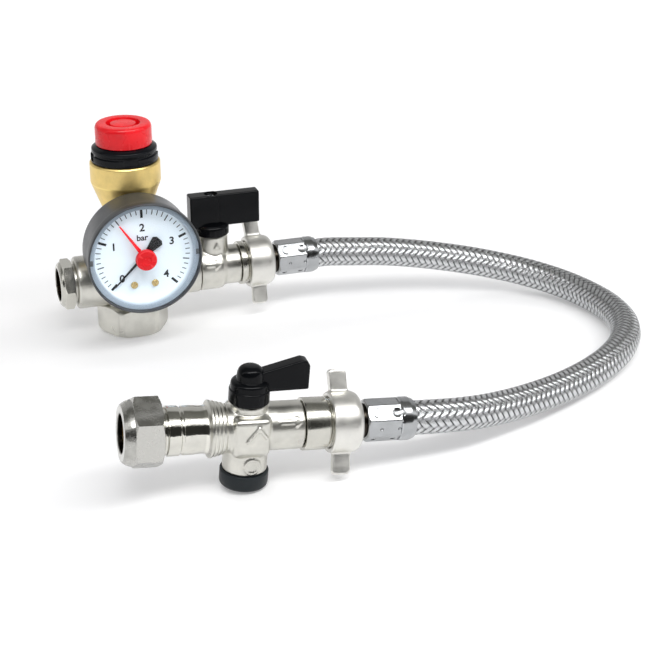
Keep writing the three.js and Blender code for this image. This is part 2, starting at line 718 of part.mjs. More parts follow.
function gaugeDial() {
  const disc = rod(GAUGE_BACK_D - 2 * GAUGE_WALL - 2 * FIT, DIAL_BACK, DIAL_FRONT, FINE);
  const hole = rod(SHAFT_HOLE_D + 0.6, DIAL_BACK - 1, DIAL_FRONT + 1, TINY);
  return cut(disc, hole, ...screwHoles(DIAL_BACK, DIAL_FRONT));
}

const DIAL_SCREWS = [[-4.8, -13.8], [4.8, -13.8]];
const SCREW_HEAD_D = 3.3;
const SCREW_SHANK_D = 1.6;

function screwHoles(from, to) {
  const hole = rod(SCREW_SHANK_D + 2 * FIT, from - 1, to + 1, TINY);
  return DIAL_SCREWS.map(([x, y]) => hole.translate([x, y, 0]));
}

function dialScrew() {
  const [head, shank] = [SCREW_HEAD_D / 2, SCREW_SHANK_D / 2];
  const tip = PLATE_FRONT - PLATE_T;
  const under = DIAL_FRONT + SEAM;
  const top = under + 0.7;
  const screw = turned(
    [[0, tip], [shank, tip], [shank, under], [head, under], [head, top - 0.25], [head - 0.3, top], [0, top]],
    TINY,
  );
  return cut(screw, box(-head, head, -0.25, 0.25, top - 0.35, top + 1));
}

function gaugeLens() {
  const hole = POINTER_POST_D / 2 + FIT;
  const r = RIM_BORE_D / 2 - FIT;
  return turned(
    [[hole, LENS_BACK], [r, LENS_BACK], [r, LENS_FRONT - 0.4], [r - 0.6, LENS_FRONT], [hole, LENS_FRONT]],
    FINE,
  );
}

// The pointer lies along +Y in this frame and is turned to its reading afterwards.
function setPointer() {
  const post = POINTER_POST_D / 2;
  const [armBack, hubBack, hubFront] = [POINTER_AT - NEEDLE_T, LENS_FRONT + SEAM, LENS_FRONT + SEAM + HUB_T];
  const hub = turned(
    [[0, armBack], [post + 1, armBack], [post + 1, POINTER_AT], [post, POINTER_AT], [post, hubBack],
      [HUB_D / 2, hubBack], [HUB_D / 2, hubFront - 0.5], [HUB_D / 2 - 0.5, hubFront], [0, hubFront]],
    SMALL,
  );
  const arm = extruded([[-0.9, 0], [0.9, 0], [0.25, POINTER_REACH], [-0.25, POINTER_REACH]], NEEDLE_T)
    .translate([0, 0, POINTER_AT - NEEDLE_T]);
  return joined(hub, arm);
}

function needle() {
  const [root, tip] = [0.65, 0.2]; // half the arm's width
  const arm = extruded([[-root, 0], [root, 0], [tip, NEEDLE_REACH], [-tip, NEEDLE_REACH]], NEEDLE_T);
  const wide = NEEDLE_TAIL_WIDTH / 2;
  const end = wide * 0.55;
  const shoulder = 1.2 - NEEDLE_TAIL;
  const wedge = extruded(
    [[-root, 0], [-wide, shoulder], [-end, -NEEDLE_TAIL], [end, -NEEDLE_TAIL], [wide, shoulder], [root, 0]],
    NEEDLE_T,
  );
  const boss = rod(NEEDLE_BOSS_D, 0, NEEDLE_T * 1.8, TINY);
  const plateBack = PLATE_FRONT - PLATE_T - NEEDLE_AT;
  const shaft = rod(SHAFT_D, plateBack - 4, NEEDLE_T, TINY);
  const pinion = rod(PINION_D, plateBack - 2.6, plateBack - 1, TINY);
  return joined(arm, wedge, boss, shaft, pinion).translate([0, 0, NEEDLE_AT]);
}

const BLOCK_FRONT = CASE_BACK + GAUGE_WALL + SEAM + MOVEMENT_BLOCK_T;

function gaugeStem() {
  const half = MOVEMENT_BLOCK / 2;
  const shank = rod(GAUGE_STEM_D, GAUGE_BOSS_REACH - STEM_INSIDE, BLOCK_FRONT - 1, SMALL);
  const block = box(-half, half, -half, half, CASE_BACK + GAUGE_WALL + SEAM, BLOCK_FRONT);
  const bore = rod(3, GAUGE_BOSS_REACH - STEM_INSIDE - 1, BLOCK_FRONT - 1.5, TINY);
  return cut(joined(shank, block), bore);
}

// Two plates on four posts, which stand on the stem's block and carry the needle's shaft
function gaugeMovement() {
  const half = MOVEMENT_BLOCK / 2;
  const holeD = SHAFT_D + 2 * FIT;
  const foot = BLOCK_FRONT + SEAM;
  const base = box(-half, half, -half, half, foot, foot + PLATE_T);
  const plateBack = PLATE_FRONT - PLATE_T;
  const plateBottom = DIAL_SCREWS[0][1] - 1.7; // under the dial's screws
  const plate = box(-SECTOR_PIVOT_X - 1.5, half + 1, plateBottom, half, plateBack, PLATE_FRONT);
  const posts = [[-1, -1], [1, -1], [-1, 1], [1, 1]].map(([i, j]) =>
    rod(1.6, foot + 0.5, PLATE_FRONT - 0.5, TINY).translate([i * (half - 1), j * (half - 1), 0]));
  const shaftHole = rod(holeD, plateBack - 1, PLATE_FRONT + 1, TINY);
  return cut(joined(base, plate, ...posts), shaftHole, ...screwHoles(plateBack, PLATE_FRONT));
}

// The flattened tube that uncoils with pressure: from the block round to a free tip
function bourdonTube() {
  const radius = BOURDON_RADIUS;
  const level = BLOCK_FRONT - MOVEMENT_BLOCK_T / 2;
  const half = MOVEMENT_BLOCK / 2 + FIT;
  const from = degrees(-78);
  const bend = degrees(262);
  class Arc extends THREE.Curve {
    getPoint(t, target = new THREE.Vector3()) {
      const angle = from + bend * t;
      return target.set(radius * Math.cos(angle), radius * Math.sin(angle), level);
    }
  }
  const sides = 6;
  const flatTube = new THREE.Shape(Array.from({ length: sides }, (_, i) => {
    const angle = (2 * Math.PI * (i + 0.5)) / sides;
    return new THREE.Vector2((BOURDON_WIDTH / 2) * Math.cos(angle), (BOURDON_T / 2) * Math.sin(angle));
  }));
  const along = { extrudePath: new Arc(), steps: 16, bevelEnabled: false };
  const coil = solid(new THREE.ExtrudeGeometry(flatTube, along));
  const legX = radius * Math.cos(from);
  const legT = BOURDON_T / 2;
  const leg = box(legX - legT, legX + legT, -radius - 0.4, -half, level - 1.4 * legT, level + 1.4 * legT);
  return joined(coil, leg);
}

// Sector that turns the needle's pinion, on a pivot beside it. Its tail balances it, and is what the
// curved tube's link would pull. At zero it stands at one end of its sweep.
function gaugeSector() {
  const reach = SECTOR_PIVOT_X - PINION_D / 2 - FIT;
  const travel = (SWEEP * PINION_D) / 2 / reach;
  const spread = travel / 2 + 2;
  const outline = [[0, -1]];
  const steps = 4;
  for (let i = 0; i <= steps; i++) {
    const angle = degrees(-travel / 2 - spread + (2 * spread * i) / steps);
    outline.push([reach * Math.cos(angle), reach * Math.sin(angle)]);
  }
  outline.push([0, 1]);
  const blade = extruded(outline, SECTOR_T);
  const half = SECTOR_TAIL_WIDTH / 2;
  const tail = box(-SECTOR_TAIL, 0, -half, half, 0, SECTOR_T).rotate([0, 0, -travel / 2]);
  const pivot = rod(1.4, -1.2, SECTOR_DEPTH - SEAM, TINY);
  return joined(blade, tail, pivot).translate([-SECTOR_PIVOT_X, 0, PLATE_FRONT - PLATE_T - SECTOR_DEPTH]);
}

const gauge = new THREE.Group();
gauge.position.set(0, 0, GAUGE_Z);
gauge.rotation.x = Math.PI / 2;
assembly.add(gauge);
const readingAngle = (bar) => ZERO_ANGLE + (SWEEP * bar) / SCALE_END;
put(gauge, "gauge_case", gaugeCase(), GREY_PLASTIC);
put(gauge, "gauge_lens", gaugeLens(), CLEAR);
put(gauge, "gauge_dial", gaugeDial(), WHITE_PAINT);
const atReading = (pointer, bar) => pointer.rotate([0, 0, clock(readingAngle(bar)) - 90]);
put(gauge, "gauge_needle", atReading(needle(), 0), BLACK_PAINT);
put(gauge, "gauge_set_pointer", atReading(setPointer(), POINTER_READING), RED_PLASTIC);
DIAL_SCREWS.forEach(([x, y], i) => put(gauge, `gauge_dial_screw_${i + 1}`, dialScrew(), BRASS, [x, y, 0]));
put(gauge, "gauge_stem", gaugeStem(), BRASS);
put(gauge, "gauge_movement", gaugeMovement(), BRASS);
put(gauge, "gauge_bourdon_tube", bourdonTube(), BRASS);
put(gauge, "gauge_sector", gaugeSector(), BRASS);

// Relief valve

const RELIEF_BOTTOM = TOP_BOSS_Z + SEAM;
const SPIGOT_BOTTOM = RELIEF_BOTTOM - RELIEF_SPIGOT_LENGTH;
const RELIEF_CONE_Z = RELIEF_BOTTOM + RELIEF_NECK_LENGTH + RELIEF_CONE_LENGTH;
const RELIEF_TOP_Z = RELIEF_CONE_Z + RELIEF_BARREL_LENGTH;
const RELIEF_LEDGE_Z = RELIEF_CONE_Z - RELIEF_LEDGE_DROP;
const SEAT_Z = RELIEF_CONE_Z - RELIEF_SEAT_DROP;
const CHAMBER_Z = SEAT_Z - 3;
const CLAMP_D = RELIEF_D - 5;
const DIAPHRAGM_Z = RELIEF_LEDGE_Z + SEAM;
const DIAPHRAGM_TOP = DIAPHRAGM_Z + DIAPHRAGM_T;
const COLLAR_Z = RELIEF_TOP_Z + SEAM;
const COLLAR_TOP = COLLAR_Z + COLLAR_HEIGHT;
const KNOB_Z = COLLAR_TOP + SEAM;
const KNOB_TOP = KNOB_Z + KNOB_HEIGHT;
const OUTLET_Z = SEAT_Z + 1.4;
const PLATE_Z = DIAPHRAGM_TOP + SEAM;
const SPRING_PLATE_T = 1.4;
const SPRING_CEILING = COLLAR_TOP - COLLAR_TOP_T;

function reliefBody() {
  const r = RELIEF_D / 2;
  const [spigot, neck] = [RELIEF_SPIGOT_D / 2, RELIEF_NECK_D / 2];
  const outside = joined(
    turned(
      [[0, SPIGOT_BOTTOM], [spigot, SPIGOT_BOTTOM], [spigot, RELIEF_BOTTOM], [neck, RELIEF_BOTTOM],
        [neck, RELIEF_BOTTOM + RELIEF_NECK_LENGTH], [r, RELIEF_CONE_Z], [r, RELIEF_TOP_Z], [0, RELIEF_TOP_Z]],
      FINE,
    ),
    alongY(rod(OUTLET_D, 0, OUTLET_REACH)).translate([0, 0, OUTLET_Z]),
  );
  const [seatR, chamberR, clampR] = [SEAT_D / 2, RELIEF_CHAMBER_D / 2, CLAMP_D / 2];
  const open = RELIEF_TOP_Z + 1;
  const chamber = turned(
    [[0, SEAT_Z], [seatR, SEAT_Z], [seatR + 0.4, CHAMBER_Z], [chamberR, CHAMBER_Z],
      [chamberR, RELIEF_LEDGE_Z], [clampR, RELIEF_LEDGE_Z], [clampR, open], [0, open]],
    FINE,
  );
  const inlet = rod(WATERWAY_D, SPIGOT_BOTTOM - 1, SEAT_Z + 1, SMALL);
  const outlet = alongY(joined(
    rod(OUTLET_BORE_D, chamberR + 1, OUTLET_REACH + 1, MEDIUM),
    rod(WATERWAY_D - 1.2, seatR + 0.6, chamberR + 2, SMALL),
  )).translate([0, 0, OUTLET_Z]);
  return cut(outside, chamber, inlet, outlet);
}

function reliefDisc() {
  const r = SEAT_D / 2 + 0.8;
  const z0 = SEAT_Z + SEAM;
  const z1 = z0 + DISC_T;
  return turned([[0, z0], [r, z0], [r, z1 - 0.6], [r - 0.6, z1], [0, z1]], SMALL);
}

function diaphragm() {
  return tube(CLAMP_D - 2 * FIT, SPINDLE_D + 2 * FIT, DIAPHRAGM_Z, DIAPHRAGM_TOP, MEDIUM);
}

function spindle() {
  const r = SPINDLE_D / 2;
  const foot = SEAT_Z + SEAM + DISC_T + SEAM;
  const plateR = SPRING_D / 2 + SPRING_WIRE_D / 2 + 0.3;
  const plateTop = PLATE_Z + SPRING_PLATE_T;
  const top = KNOB_TOP - KNOB_GROOVE_DEPTH;
  return turned(
    [[0, foot], [r + 1.6, foot], [r + 1.6, foot + 1.2], [r, foot + 1.2], [r, PLATE_Z], [plateR, PLATE_Z],
      [plateR, plateTop], [r, plateTop], [r, top], [0, top]],
    SMALL,
  );
}

function reliefSpring() {
  const from = PLATE_Z + SPRING_PLATE_T + SEAM;
  return helixSpring(SPRING_D - SPRING_WIRE_D, SPRING_WIRE_D, SPRING_TURNS, from, SPRING_CEILING - SEAM, 9);
}

function collar() {
  const lower = COLLAR_D / 2;
  const upper = COLLAR_UPPER_D / 2;
  const groove = COLLAR_GROOVE_D / 2;
  const top = KNOB_D / 2 + 0.1;
  const skirt = CLAMP_D / 2 - FIT;
  const inner = skirt - COLLAR_WALL;
  const hole = SPINDLE_D / 2 + FIT;
  const [grooveFrom, grooveTo] = [COLLAR_Z + 3.2, COLLAR_Z + 4.2];
  const skirtEnd = DIAPHRAGM_TOP + SEAM;
  const outside = turned(
    [[hole, SPRING_CEILING], [inner, SPRING_CEILING], [inner, skirtEnd], [skirt, skirtEnd], [skirt, COLLAR_Z],
      [lower, COLLAR_Z], [lower, grooveFrom], [groove, grooveFrom], [groove, grooveTo], [upper, grooveTo],
      [upper, COLLAR_TOP - 1.2], [top, COLLAR_TOP], [hole, COLLAR_TOP]],
    FINE,
  );
  const half = COLLAR_WINDOW / 2;
  const window = box(-half, half, -lower - 1, -lower + 0.9, COLLAR_Z + 0.7, grooveFrom - 0.6);
  const windows = [0, 90, 180, 270].map((angle) => window.rotate([0, 0, angle]));
  return cut(outside, ...windows);
}

function knob() {
  const r = KNOB_D / 2;
  const boss = KNOB_BOSS_D / 2;
  const groove = KNOB_GROOVE_D / 2;
  const grooveZ = KNOB_TOP - KNOB_GROOVE_DEPTH;
  const hole = SPINDLE_D / 2 + FIT;
  const blind = grooveZ + SEAM;
  const soft = 1.6; // rounding of the top edge
  return turned(
    [[0, blind], [hole, blind], [hole, KNOB_Z], [r, KNOB_Z], [r, KNOB_TOP - soft],
      [r - 0.3 * soft, KNOB_TOP - 0.3 * soft], [r - soft, KNOB_TOP], [groove, KNOB_TOP], [groove, grooveZ],
      [boss, grooveZ], [boss, KNOB_TOP - 0.3], [0, KNOB_TOP - 0.3]],
    FINE,
  );
}

put(assembly, "relief_body", reliefBody(), BRASS);
put(assembly, "relief_disc", reliefDisc(), RUBBER);
put(assembly, "relief_diaphragm", diaphragm(), RUBBER);
put(assembly, "relief_spindle", spindle(), BRASS);
put(assembly, "relief_spring", reliefSpring(), STEEL);
put(assembly, "relief_collar", collar(), BLACK_PLASTIC);
put(assembly, "relief_knob", knob(), RED_PLASTIC);

// Rear isolating valve, about its own centre

const REAR_BODY_LEFT = REAR_VALVE_START - REAR_VALVE_X;
const REAR_ORING_Z = REAR_STEM_BOSS_TOP - 4;
const REAR_LEVER_Z = REAR_STEM_BOSS_TOP + SEAM;
const REAR_LEVER_TOP = REAR_LEVER_Z + REAR_HUB_T + REAR_LEVER_HEIGHT;
const REAR_SQUARE_TOP = REAR_LEVER_TOP - 7;
const SCREW_HEAD_T = 1.8;
const SCREW_THREAD_D = 3;
const SCREW_END = REAR_SQUARE_TOP - 5;
const REAR_FLANGE_FROM = REAR_BARREL_END + SEAM;

function rearValveBody() {
  const [r, spigot, barrel] = [REAR_VALVE_D / 2, REAR_SPIGOT_D / 2, REAR_BARREL_D / 2];
  const spigotEnd = REAR_BODY_LEFT - REAR_SPIGOT_LENGTH;
  const slope = 1.2;
  const outside = joined(
    alongX(turned(
      [[0, spigotEnd], [spigot, spigotEnd], [spigot, REAR_BODY_LEFT], [r - 0.6, REAR_BODY_LEFT],
        [r, REAR_BODY_LEFT + 0.7], [r, REAR_SHOULDER - slope], [barrel, REAR_SHOULDER + slope],
        [barrel, REAR_BARREL_END], [0, REAR_BARREL_END]],
      MEDIUM,
    )),
    rod(REAR_STEM_BOSS_D, 0, REAR_STEM_BOSS_TOP, MEDIUM),
  );
  const inlet = alongX(rod(WATERWAY_D, spigotEnd - 1, 0, SMALL));
  return cut(outside, valveHollow(REAR_BARREL_END + 1, REAR_STEM_BOSS_TOP + 1), inlet);
}

function rearHandle() {
  const hub = rod(REAR_HUB_D, REAR_LEVER_Z, REAR_LEVER_Z + REAR_HUB_T + 1, MEDIUM);
  const bottom = REAR_LEVER_Z + REAR_HUB_T;
  const [rootHalf, half] = [REAR_LEVER_ROOT_T / 2, REAR_LEVER_T / 2];
  const soft = 1;
  const outline = (x0, x1) => [[x0, bottom], [x1, bottom], [x1, REAR_LEVER_TOP - soft],
    [x1 - soft, REAR_LEVER_TOP], [x0 + soft, REAR_LEVER_TOP], [x0, REAR_LEVER_TOP - soft]];
  const upright = (points, thick) => extruded(points, thick).translate([0, 0, -thick / 2]).rotate([90, 0, 0]);
  const root = upright(outline(-REAR_LEVER_TAIL, REAR_LEVER_STEP), 2 * rootHalf);
  const blade = upright(outline(-REAR_LEVER_TAIL + 1, REAR_LEVER_REACH), 2 * half);
  const side = STEM_SQUARE / 2 + FIT;
  const socket = box(-side, side, -side, side, REAR_LEVER_Z - 1, REAR_SQUARE_TOP + SEAM);
  const screwHole = rod(SCREW_THREAD_D + 2 * FIT, REAR_SQUARE_TOP, REAR_LEVER_TOP + 1, TINY);
  const recessFloor = REAR_LEVER_TOP - LEVER_SCREW_RECESS - SCREW_HEAD_T - SEAM;
  const recess = rod(LEVER_SCREW_D + 2 * FIT, recessFloor, REAR_LEVER_TOP + 1, SMALL);
  return cut(joined(hub, root, blade), socket, screwHole, recess);
}

function leverScrew() {
  const head = LEVER_SCREW_D / 2;
  const top = REAR_LEVER_TOP - LEVER_SCREW_RECESS;
  const under = top - SCREW_HEAD_T;
  const thread = SCREW_THREAD_D / 2;
  const screw = turned(
    [[0, SCREW_END], [thread, SCREW_END], [thread, under], [head, under], [head, top - 0.4],
      [head - 0.5, top], [0, top]],
    SMALL,
  );
  const [arm, reach] = [0.45, 1.7]; // of the cross in its head
  const cross = box(-reach, reach, -arm, arm, top - 0.9, top + 1);
  return cut(screw, cross, cross.rotate([0, 0, 90]));
}

function rearStem() {
  const made = stem(REAR_ORING_Z, REAR_STEM_BOSS_TOP, REAR_SQUARE_TOP);
  return cut(made, rod(SCREW_THREAD_D + 2 * FIT, SCREW_END - SEAM, REAR_SQUARE_TOP + 1, TINY));
}

const rearValve = [REAR_VALVE_X, 0, PIPE_HEIGHT];
put(assembly, "rear_valve_body", rearValveBody(), NICKEL, rearValve);
put(assembly, "rear_valve_tailpiece", tailpiece(REAR_FLANGE_D, REAR_FLANGE_FROM, REAR_FLANGE_T), NICKEL,
  rearValve);
put(assembly, "rear_ball", ball(), CHROME, rearValve);
put(assembly, "rear_seat_left", seatRing(-1), WHITE_PLASTIC, rearValve);
put(assembly, "rear_seat_right", seatRing(1), WHITE_PLASTIC, rearValve);
put(assembly, "rear_stem", rearStem(), BRASS, rearValve);
put(assembly, "rear_stem_oring", oring(REAR_ORING_Z), RUBBER, rearValve);
put(assembly, "rear_handle", rearHandle(), BLACK_PLASTIC, rearValve);
put(assembly, "rear_handle_screw", leverScrew(), STEEL, rearValve);
const rearUnion = [REAR_VALVE_X + REAR_FLANGE_FROM + REAR_FLANGE_T, 0, PIPE_HEIGHT];
union(assembly, "rear", rearUnion, WING_TURN);

// Front valve, about its own centre: it stands on its cap, dipping to the right

const CAP_BOTTOM = DRAIN_BOSS_LENGTH + SEAM + CAP_HEIGHT;
const dip = degrees(FRONT_DIP);
const FRONT_Z = CAP_BOTTOM * Math.cos(dip) + (CAP_D / 2 - CAP_EDGE) * Math.sin(dip);
front.position.set(FRONT_X, -VALVE_SPACING, FRONT_Z);
front.rotation.set(0, dip, degrees(FRONT_YAW), "ZYX");
assembly.add(front);

const FRONT_ORING_Z = FRONT_STEM_BOSS_TOP - 2.6;
const FRONT_LEVER_Z = FRONT_STEM_BOSS_TOP + SEAM;
const FRONT_HUB_TOP = FRONT_LEVER_Z + FRONT_HUB_T;
const FRONT_SQUARE_TOP = FRONT_HUB_TOP - 2;
const FRONT_FLANGE_FROM = FRONT_BARREL_END + SEAM;
const FRONT_MOUTH = -FRONT_NUT_START + MOUTH_INSET;
const CHECK_BORE_D = CHECK_D + 2 * FIT;
const CHECK_FROM = -FRONT_PIPE_STOP + SEAM;
const CHECK_END = CHECK_FROM + 2 * CHECK_LENGTH + SEAM;

function frontValveBody() {
  const thread = FRONT_THREAD_D / 2;
  const neck = NECK_D / 2;
  const waist = NECK_WAIST_D / 2;
  const barrel = FRONT_BARREL_D / 2;
  const threadEnd = -FRONT_THREAD_END;
  const profile = [[0, FRONT_MOUTH], [thread - 0.5, FRONT_MOUTH], [thread, FRONT_MOUTH + 0.6],
    [thread, threadEnd], [neck, threadEnd], [neck, threadEnd + 7], [waist, -RIDGE_FROM - 2.2],
    [waist + 0.4, -RIDGE_FROM - 1.2]];
  for (let i = 0; i < RIDGES; i++) {
    const x = -RIDGE_FROM + i * RIDGE_PITCH;
    const crest = (RIDGE_D - i * RIDGE_STEP) / 2;
    profile.push([crest, x - 0.5], [crest, x + 0.3], [crest - 0.8, x + 0.6]);
  }
  const ridgesEnd = -RIDGE_FROM + (RIDGES - 1) * RIDGE_PITCH + 1.4;
  profile.push([barrel, ridgesEnd], [barrel, FRONT_BARREL_END], [0, FRONT_BARREL_END]);
  const pipe = alongX(turned(profile, MEDIUM));
  const halfBlock = BLOCK_WIDTH / 2;
  const block = box(-halfBlock, halfBlock, -BLOCK_DEPTH / 2, BLOCK_DEPTH / 2, -BLOCK_BOTTOM, BLOCK_TOP);
  const trimmed = block.intersect(alongX(rod(BLOCK_DEPTH + 5, -halfBlock, halfBlock, FINE)));
  const stemBoss = rod(FRONT_STEM_BOSS_D, 0, FRONT_STEM_BOSS_TOP, MEDIUM);
  const drainBoss = rod(DRAIN_BOSS_D, -DRAIN_BOSS_LENGTH, 0, MEDIUM);
  const drainThread = rod(DRAIN_THREAD_D, -DRAIN_SPIGOT_END, -DRAIN_BOSS_LENGTH + 1, SMALL);
  const outside = joined(pipe, trimmed, stemBoss, drainBoss, drainThread);
  const pipeBore = alongX(joined(
    spigotMouth(FRONT_MOUTH),
    rod(PIPE_D, FRONT_MOUTH, -FRONT_PIPE_STOP, MEDIUM),
    rod(CHECK_BORE_D, -FRONT_PIPE_STOP - 1, CHECK_END + SEAM, MEDIUM),
    rod(WATERWAY_D, CHECK_END, 0, SMALL),
  ));
  const drain = rod(DRAIN_BORE_D, -DRAIN_SPIGOT_END - 1, -CAVITY_D / 2 + 0.6, SMALL);
  return cut(outside, pipeBore, valveHollow(FRONT_BARREL_END + 1, FRONT_STEM_BOSS_TOP + 1), drain);
}

const CAP_FLOOR = CAP_BOTTOM - CAP_END_T;
const DRAIN_SPIGOT_END = CAP_FLOOR - SEAM - CAP_SEAL_T - SEAM;

function drainCap() {
  const r = CAP_D / 2;
  const inner = DRAIN_THREAD_D / 2 + FIT;
  const bottom = -CAP_BOTTOM;
  const top = bottom + CAP_HEIGHT;
  return turned(
    [[0, bottom], [r - CAP_EDGE, bottom], [r - 0.4, bottom + 0.5], [r, bottom + 1.6], [r, top - 0.3],
      [r - 0.3, top], [inner, top], [inner, -CAP_FLOOR], [0, -CAP_FLOOR]],
    MEDIUM,
  );
}

function capSeal() {
  const from = -CAP_FLOOR + SEAM;
  return tube(DRAIN_THREAD_D - 0.2, DRAIN_BORE_D + 0.6, from, from + CAP_SEAL_T, SMALL);
}

function frontHandle() {
  const r = FRONT_HUB_D / 2;
  const dome = DOME_D / 2;
  const [bottom, top, step] = [FRONT_LEVER_Z, FRONT_HUB_TOP, 0.35];
  const hub = turned(
    [[0, bottom], [r - 0.5, bottom], [r, bottom + 0.5], [r, top - 3.4], [r - step, top - 3.1],
      [r - step, top - 1.6], [r - 1.6, top], [dome + 0.5, top + 1.8], [dome, top + 2.6],
      [dome - 0.6, DOME_TOP - 1.6], [dome - 2, DOME_TOP - 0.4], [0, DOME_TOP]],
    MEDIUM,
  );
  const outline = [[0, BLADE_BOTTOM], [BLADE_REACH, BLADE_BOTTOM + 0.6], [BLADE_REACH, BLADE_TIP_TOP - 2.4],
    [BLADE_REACH - 1.2, BLADE_TIP_TOP - 0.5], [BLADE_REACH - 3.4, BLADE_TIP_TOP], [dome - 1, BLADE_ROOT_TOP],
    [0, BLADE_ROOT_TOP - 2]];
  const blade = extruded(outline, BLADE_T).translate([0, 0, -BLADE_T / 2]).rotate([90, 0, 0]);
  const half = STEM_SQUARE / 2 + FIT;
  const socket = box(-half, half, -half, half, FRONT_LEVER_Z - 1, FRONT_SQUARE_TOP + SEAM);
  return cut(joined(hub, blade), socket);
}

// One check valve cartridge from x: a body with its seat and guide, a poppet and its spring
const CHECK_SEAT_AT = 1.6;
const CHECK_GUIDE_T = 1.2;
const POPPET_T = 1.1;
const CHECK_SPRING_WIRE_D = 0.6;

function checkBody(x) {
  const outer = CHECK_D / 2;
  const inner = outer - CHECK_WALL;
  const seat = POPPET_D / 2 - 1;
  const [seatEnd, end] = [x + CHECK_SEAT_AT, x + CHECK_LENGTH];
  const shell = turned(
    [[seat, x], [outer, x], [outer, end], [inner, end], [inner, seatEnd], [seat, seatEnd]],
    SMALL,
  );
  const guideX = end - CHECK_GUIDE_T;
  const hub = rod(POPPET_STEM_D + 2, guideX, end, TINY);
  const [half, into] = [0.7, 0.3]; // of a bar: half its width, and how far it runs into the wall
  const bar = box(-inner - into, inner + into, -half, half, guideX, end);
  const stemHole = rod(POPPET_STEM_D + 2 * FIT, guideX - 1, end + 1, TINY);
  const guide = cut(joined(hub, bar, bar.rotate([0, 0, 90])), stemHole);
  return alongX(joined(shell, guide));
}

function checkPoppet(x) {
  const face = x + CHECK_SEAT_AT + SEAM;
  const back = face + POPPET_T;
  const r = POPPET_D / 2;
  const stemR = POPPET_STEM_D / 2;
  const end = x + CHECK_LENGTH - CHECK_LIFT;
  return alongX(turned(
    [[0, face], [r - 0.5, face], [r, face + 0.5], [r, back], [stemR, back], [stemR, end], [0, end]],
    SMALL,
  ));
}

function checkSpring(x) {
  const from = x + CHECK_SEAT_AT + SEAM + POPPET_T + SEAM;
  const to = x + CHECK_LENGTH - CHECK_GUIDE_T - CHECK_LIFT - 0.1;
  const [turns, stepsPerTurn] = [2, 7];
  return alongX(helixSpring(POPPET_STEM_D + 2.6, CHECK_SPRING_WIRE_D, turns, from, to, stepsPerTurn));
}

put(front, "front_valve_body", frontValveBody(), NICKEL);
put(front, "front_compression_nut",
  alongX(compressionNut(
    -FRONT_NUT_START, FRONT_NUT_LENGTH, FRONT_NUT_CROWN, FRONT_NUT_AF, FRONT_THREAD_D, 0,
  )),
  NICKEL);
put(front, "front_olive", alongX(olive(FRONT_MOUTH)), BRASS);
put(front, "front_valve_tailpiece", tailpiece(FRONT_RING_D, FRONT_FLANGE_FROM, FRONT_RING_T), NICKEL);
put(front, "front_ball", ball(), CHROME);
put(front, "front_seat_left", seatRing(-1), WHITE_PLASTIC);
put(front, "front_seat_right", seatRing(1), WHITE_PLASTIC);
put(front, "front_stem", stem(FRONT_ORING_Z, FRONT_STEM_BOSS_TOP, FRONT_SQUARE_TOP), BRASS);
put(front, "front_stem_oring", oring(FRONT_ORING_Z), RUBBER);
put(front, "front_handle", frontHandle(), BLACK_PLASTIC);
put(front, "drain_cap", drainCap(), BLACK_PLASTIC);
put(front, "drain_cap_seal", capSeal(), RUBBER);
[0, 1].forEach((i) => {
  const x = CHECK_FROM + i * (CHECK_LENGTH + SEAM);
  put(front, `check_body_${i + 1}`, checkBody(x), WHITE_PLASTIC);
  put(front, `check_poppet_${i + 1}`, checkPoppet(x), WHITE_PLASTIC);
  put(front, `check_spring_${i + 1}`, checkSpring(x), STEEL);
});
const FRONT_UNION = FRONT_FLANGE_FROM + FRONT_RING_T;
union(front, "front", [FRONT_UNION, 0, 0], WING_TURN);

// Braided hose, from inside one ferrule to inside the other. The loop's own points are chosen by
// hand: it leaves the rear union level, sags to the surface at its bend and rises to the front one.
// They were chosen for valves 162.6 apart, and the loop widens or narrows with the spacing.

const HOSE_LOOP = [
  [112, -2.2, 24.4], [126, -3.3, 23], [140, -5, 20.9], [154, -7.2, 18.4], [168, -10.6, 15.8],
  [181, -15.2, 13.2], [193, -21.6, 10.8], [203.5, -30.5, 8.9], [211.5, -42, 7.7], [216.6, -55.5, 7.15],
  [218.4, -70, 7.1], [216.4, -84.5, 7.1], [210.6, -98, 7.1], [201.4, -110, 7.1], [189.4, -120.6, 7.1],
  [175.6, -130, 7.2], [160.6, -138.4, 7.7], [145, -146, 8.9], [129, -153.2, 10.9], [113, -159.8, 13.6],
  [98, -164.6, 16.5],
].map(([x, y, z]) => [x, (y * VALVE_SPACING) / 162.6, z]);
assembly.updateMatrixWorld(true);
const rearOut = new THREE.Vector3(...rearUnion);
const frontOut = (x) => new THREE.Vector3(FRONT_UNION + x, 0, 0).applyMatrix4(front.matrixWorld);
const STRAIGHT_ENDS = [HOSE_INSIDE, BARB_END, FERRULE_END + 1, FERRULE_END + 6]; // from the union's start
const hosePath = new THREE.CatmullRomCurve3([
  ...STRAIGHT_ENDS.map((x) => rearOut.clone().add(new THREE.Vector3(x, 0, 0))),
  ...HOSE_LOOP.map((p) => new THREE.Vector3(...p)),
  ...STRAIGHT_ENDS.toReversed().map(frontOut),
], false, "centripetal");
const HOSE_STEPS = 18;
const HOSE_SIDES = 10;
put(assembly, "braided_hose", sweep(hosePath, HOSE_D, HOSE_BORE_D, HOSE_STEPS, HOSE_SIDES), BRAID);

// The part's origin is the middle of the surface under everything but the hose

const extent = new THREE.Box3();
assembly.traverse((mesh) => {
  if (mesh.isMesh && mesh.name !== "braided_hose") extent.expandByObject(mesh, true);
});
const middle = extent.getCenter(new THREE.Vector3());
assembly.position.set(-middle.x, -middle.y, -extent.min.z);
const part = new THREE.Group();
part.add(assembly);

export default part;
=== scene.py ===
import json
import math

import bmesh
import bpy
from mathutils import Matrix, Vector


